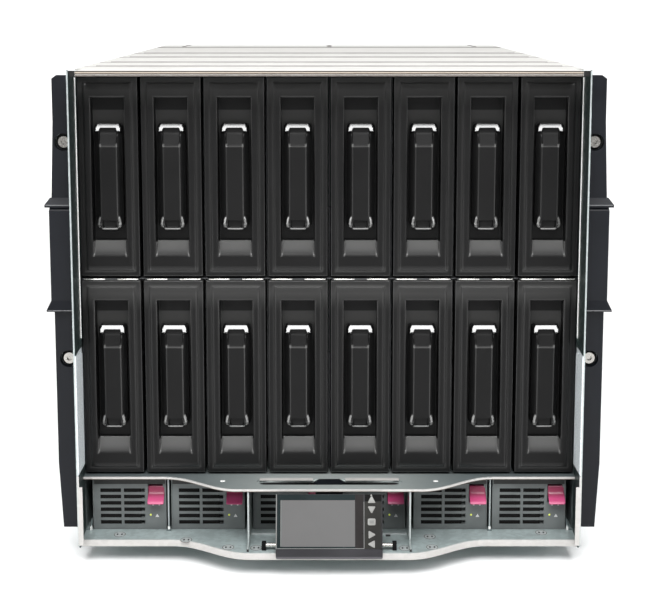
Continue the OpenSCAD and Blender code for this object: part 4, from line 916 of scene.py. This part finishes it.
# the panel frames the screen on three sides in dark teal, which above the screen is painted shadow of the
# shelf's lip; a browner margin stands at its right
on_front("display_panel", [(PANEL_LEFT, PANEL_LOW, SCREEN_LEFT, PANEL_HIGH, 0.12, 0.3),
                           (SCREEN_LEFT, -1.18, SCREEN_RIGHT, PANEL_HIGH, 0.12, 0.3),
                           (SCREEN_LEFT, PANEL_LOW, SCREEN_RIGHT, -41.42, 0.12, 0.3)], panel_gloss_and_shadow)
on_front("display_margin", [(SCREEN_RIGHT, PANEL_LOW, PANEL_RIGHT, PANEL_HIGH, 0.12, 0.3)], margin_gloss)
# light lines along the panel's edges; the one at the housing's left edge is a painted highlight
on_front("display_light_lines", [(PANEL_RIGHT, PANEL_LOW - 0.4, PANEL_RIGHT + 0.6, -2.5, 0.2, 0.2),
                          (PANEL_LEFT, PANEL_LOW - 0.5, PANEL_RIGHT + 0.6, PANEL_LOW, 0.2, 0.2),
                          (-46.75, -43.3, -45.9, 3.9, 0.16, 2.2),
                          (SCREEN_LEFT + 0.02, -41.3, -42.05, -1.3, 0.24, 0.1)], pale_grey)
on_front("display_keypad", [(31.0, -43.2, HALF_WINDOW + 0.3, -2.3, 0.1, 0.3)], key_field)
# painted shade: the black strip in the groove above the foot bar
on_front("display_groove", [(-46.5, -44.2, 46.5, -43.3, 0.14, 0.2), (31.2, -2.2, 46.0, 3.8, 0.1, 0.3)],
         shade_and_nylon_black)
dot = turned(dome([[0.75, -0.2], [0.75, 0.1], [0.5, 0.3], [0.1, 0.35]], sides=12), "-y",
             (KEY_X - 0.3, FRONT - 0.1, TOP - 0.9))
build("display_dot", [leaned(dot)], key_rubber, "display")

# the foot bar's outline in depth and height shrinks towards its middle at the rounded ends
foot_outline = np.array([[-1.45, -52.0], [-2.6, -52.1], [-3.8, -51.7], [-4.6, -50.7], [-5.0, -49.3],
                         [-5.1, -47.6], [-4.55, -44.3], [-4.2, -43.9], [-1.45, -43.6]])
foot_middle = np.array([-1.45, -47.9])
across = np.array([-46.75, -46.5, -45.8, -44.8, 0, 44.8, 45.8, 46.5, 46.75])
grow = np.interp(np.abs(across), [44.8, 45.8, 46.5, 46.75], [1, 0.97, 0.87, 0.72])
rings = foot_middle + (foot_outline - foot_middle)[None] * grow[:, None, None]
foot = spread(across, rings), closed_rings(len(across), len(foot_outline))
build("display_foot", [leaned(foot)], foot_plastic, "display")

# ------------------------------------------------------------------ display keys
# Five moulded rubber keys stand in a column on the display: a square one with two arrows above
# it and two below. Their tops are eased, and the square one carries a grey mark.
KEYS = {"up": (4.9, 0), "down": (13.3, 180), "ok": (24, None), "right": (35, -90), "left": (43.2, 90)}
KEY_HALF = 3.3


def arrow(angle):
    """Outline of a triangle with blunt corners that points up, turned by angle."""
    turn = math.radians(angle)
    half = KEY_HALF
    outline = np.array([[0.5 - half, 0.5 - half], [half - 0.5, 0.5 - half], [half, 1.1 - half],
                        [0.5, half - 0.3], [-0.5, half - 0.3], [-half, 1.1 - half]])
    return outline @ np.array([[math.cos(turn), math.sin(turn)], [-math.sin(turn), math.cos(turn)]])


def soft_square():
    """Outline of a rounded square: the cosine and sine of a turn, each to the power 0.35."""
    turn = np.linspace(0, 2 * math.pi, 24, endpoint=False)
    circle = np.stack([np.cos(turn), np.sin(turn)], 1)
    return np.sign(circle) * np.abs(circle) ** 0.35 * (3.5, 3.0)


# a key's rings from its back to its top: the size of the outline, and the height over the front
KEY_RINGS = [[0.999, -1.5], [1.0, 0.1], [0.93, 0.42], [0.8, 0.5], [0.4, 0.52]]
for name, (drop, angle) in KEYS.items():
    outline = soft_square() if name == "ok" else arrow(angle)
    cap = turned(stacked(KEY_RINGS, outline), "-y", (KEY_X, FRONT, TOP - drop))
    shown = build(f"key_{name}_cap", [leaned(cap)], key_rubber, f"key_{name}")
    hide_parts(f"key_{name}")
mark = plate((KEY_X - 1.9, FRONT - 0.62, TOP - 25.2), (KEY_X + 1.9, FRONT - 0.4, TOP - 22.8))
build("key_ok_mark", [leaned(mark)], pale_grey, "key_ok")

# ------------------------------------------------------------------ rod blocks
# Black nylon blocks cover the two brackets that carry the ends of the display's guide rod.
# They are moulded, and stand on the floor behind its lip.
block = plate((55.7, -54.0, FLOOR_Z + 0.1), (59.4, -48.1, FLOOR_Z + 7.1))
build("rod_blocks", pair(block), shade_and_nylon_black)

# ------------------------------------------------------------------ fasteners
# Blind rivets close the side sheets on the frame, and flat screws hold the cover. The rear
# modules have captive thumbscrews and moulded touch points where the hand releases them.
REAR_Y = 774.0                          # faces of the rear modules
FAN_PITCH = 2 * HALF_IN / 5
FAN_ROWS = ((61.4, 153.4), (344.6, 436.6))   # lower and upper end of each row of fans
BLANK_TABS_Z = (160, 206, 252, 298)     # undersides of the touch points on the interconnect blanks
RIVET_Y, RIVET_Z = (40.0, 250.0, 500.0, 752.0), np.linspace(38, 412, 7)
flat_rivet = [[2.6, -0.1], [2.6, 0.2], [2.2, 0.55], [1.1, 0.75], [1.0, 0.45], [0.3, 0.45]]
screw_head = [[3.6, -0.1], [3.6, 0.35], [3.1, 0.8], [1.5, 0.95], [1.4, 0.5], [0.3, 0.5]]
thumb_screw = [[3.4, -0.1], [3.4, 1.0], [3.0, 1.4], [1.6, 1.4], [1.5, 0.9], [0.3, 0.9]]
side_rivets = [turned(dome(flat_rivet), "x", (HALF_BODY, y, z)) for y in RIVET_Y for z in RIVET_Z]
build("side_rivets", pair(*side_rivets), nickel)
cover_screws = [dome(screw_head, (x, y, COVER_Z + 1.2), sides=20)
                for x in (-190, 0, 190) for y in (700.0, 760.0)]
build("cover_screws", cover_screws, nickel)
touch_plastic = plastic("touch_plastic", (0.24, 0.02, 0.08), rough=(0.3, 0.4))
screws, tabs, module_edges = [], [], []
for column in range(5):
    x = (column - 2) * FAN_PITCH
    for low, high in FAN_ROWS:
        screws += [turned(dome(thumb_screw), "y", (x + aside, REAR_Y, z))
                   for aside in (-38.5, 38.5) for z in (low + 6, high - 6)]
        tabs.append(plate((x - 8, REAR_Y - 0.4, low + 1.8), (x + 8, REAR_Y + 1.8, low + 5.6), 0.4))
        module_edges += [plate((edge - 0.4, REAR_Y - 0.3, low + 1.2), (edge + 0.4, REAR_Y + 0.5, high - 1.2))
                         for edge in (x - 42.5, x + 42.5)]
for z in BLANK_TABS_Z:
    tabs += pair(plate((105, REAR_Y - 0.4, z), (117, REAR_Y + 1.6, z + 3), 0.4))
build("module_screws", screws, nickel)
build("module_touch_points", tabs, touch_plastic)
build("module_edges", module_edges, edge_zinc)
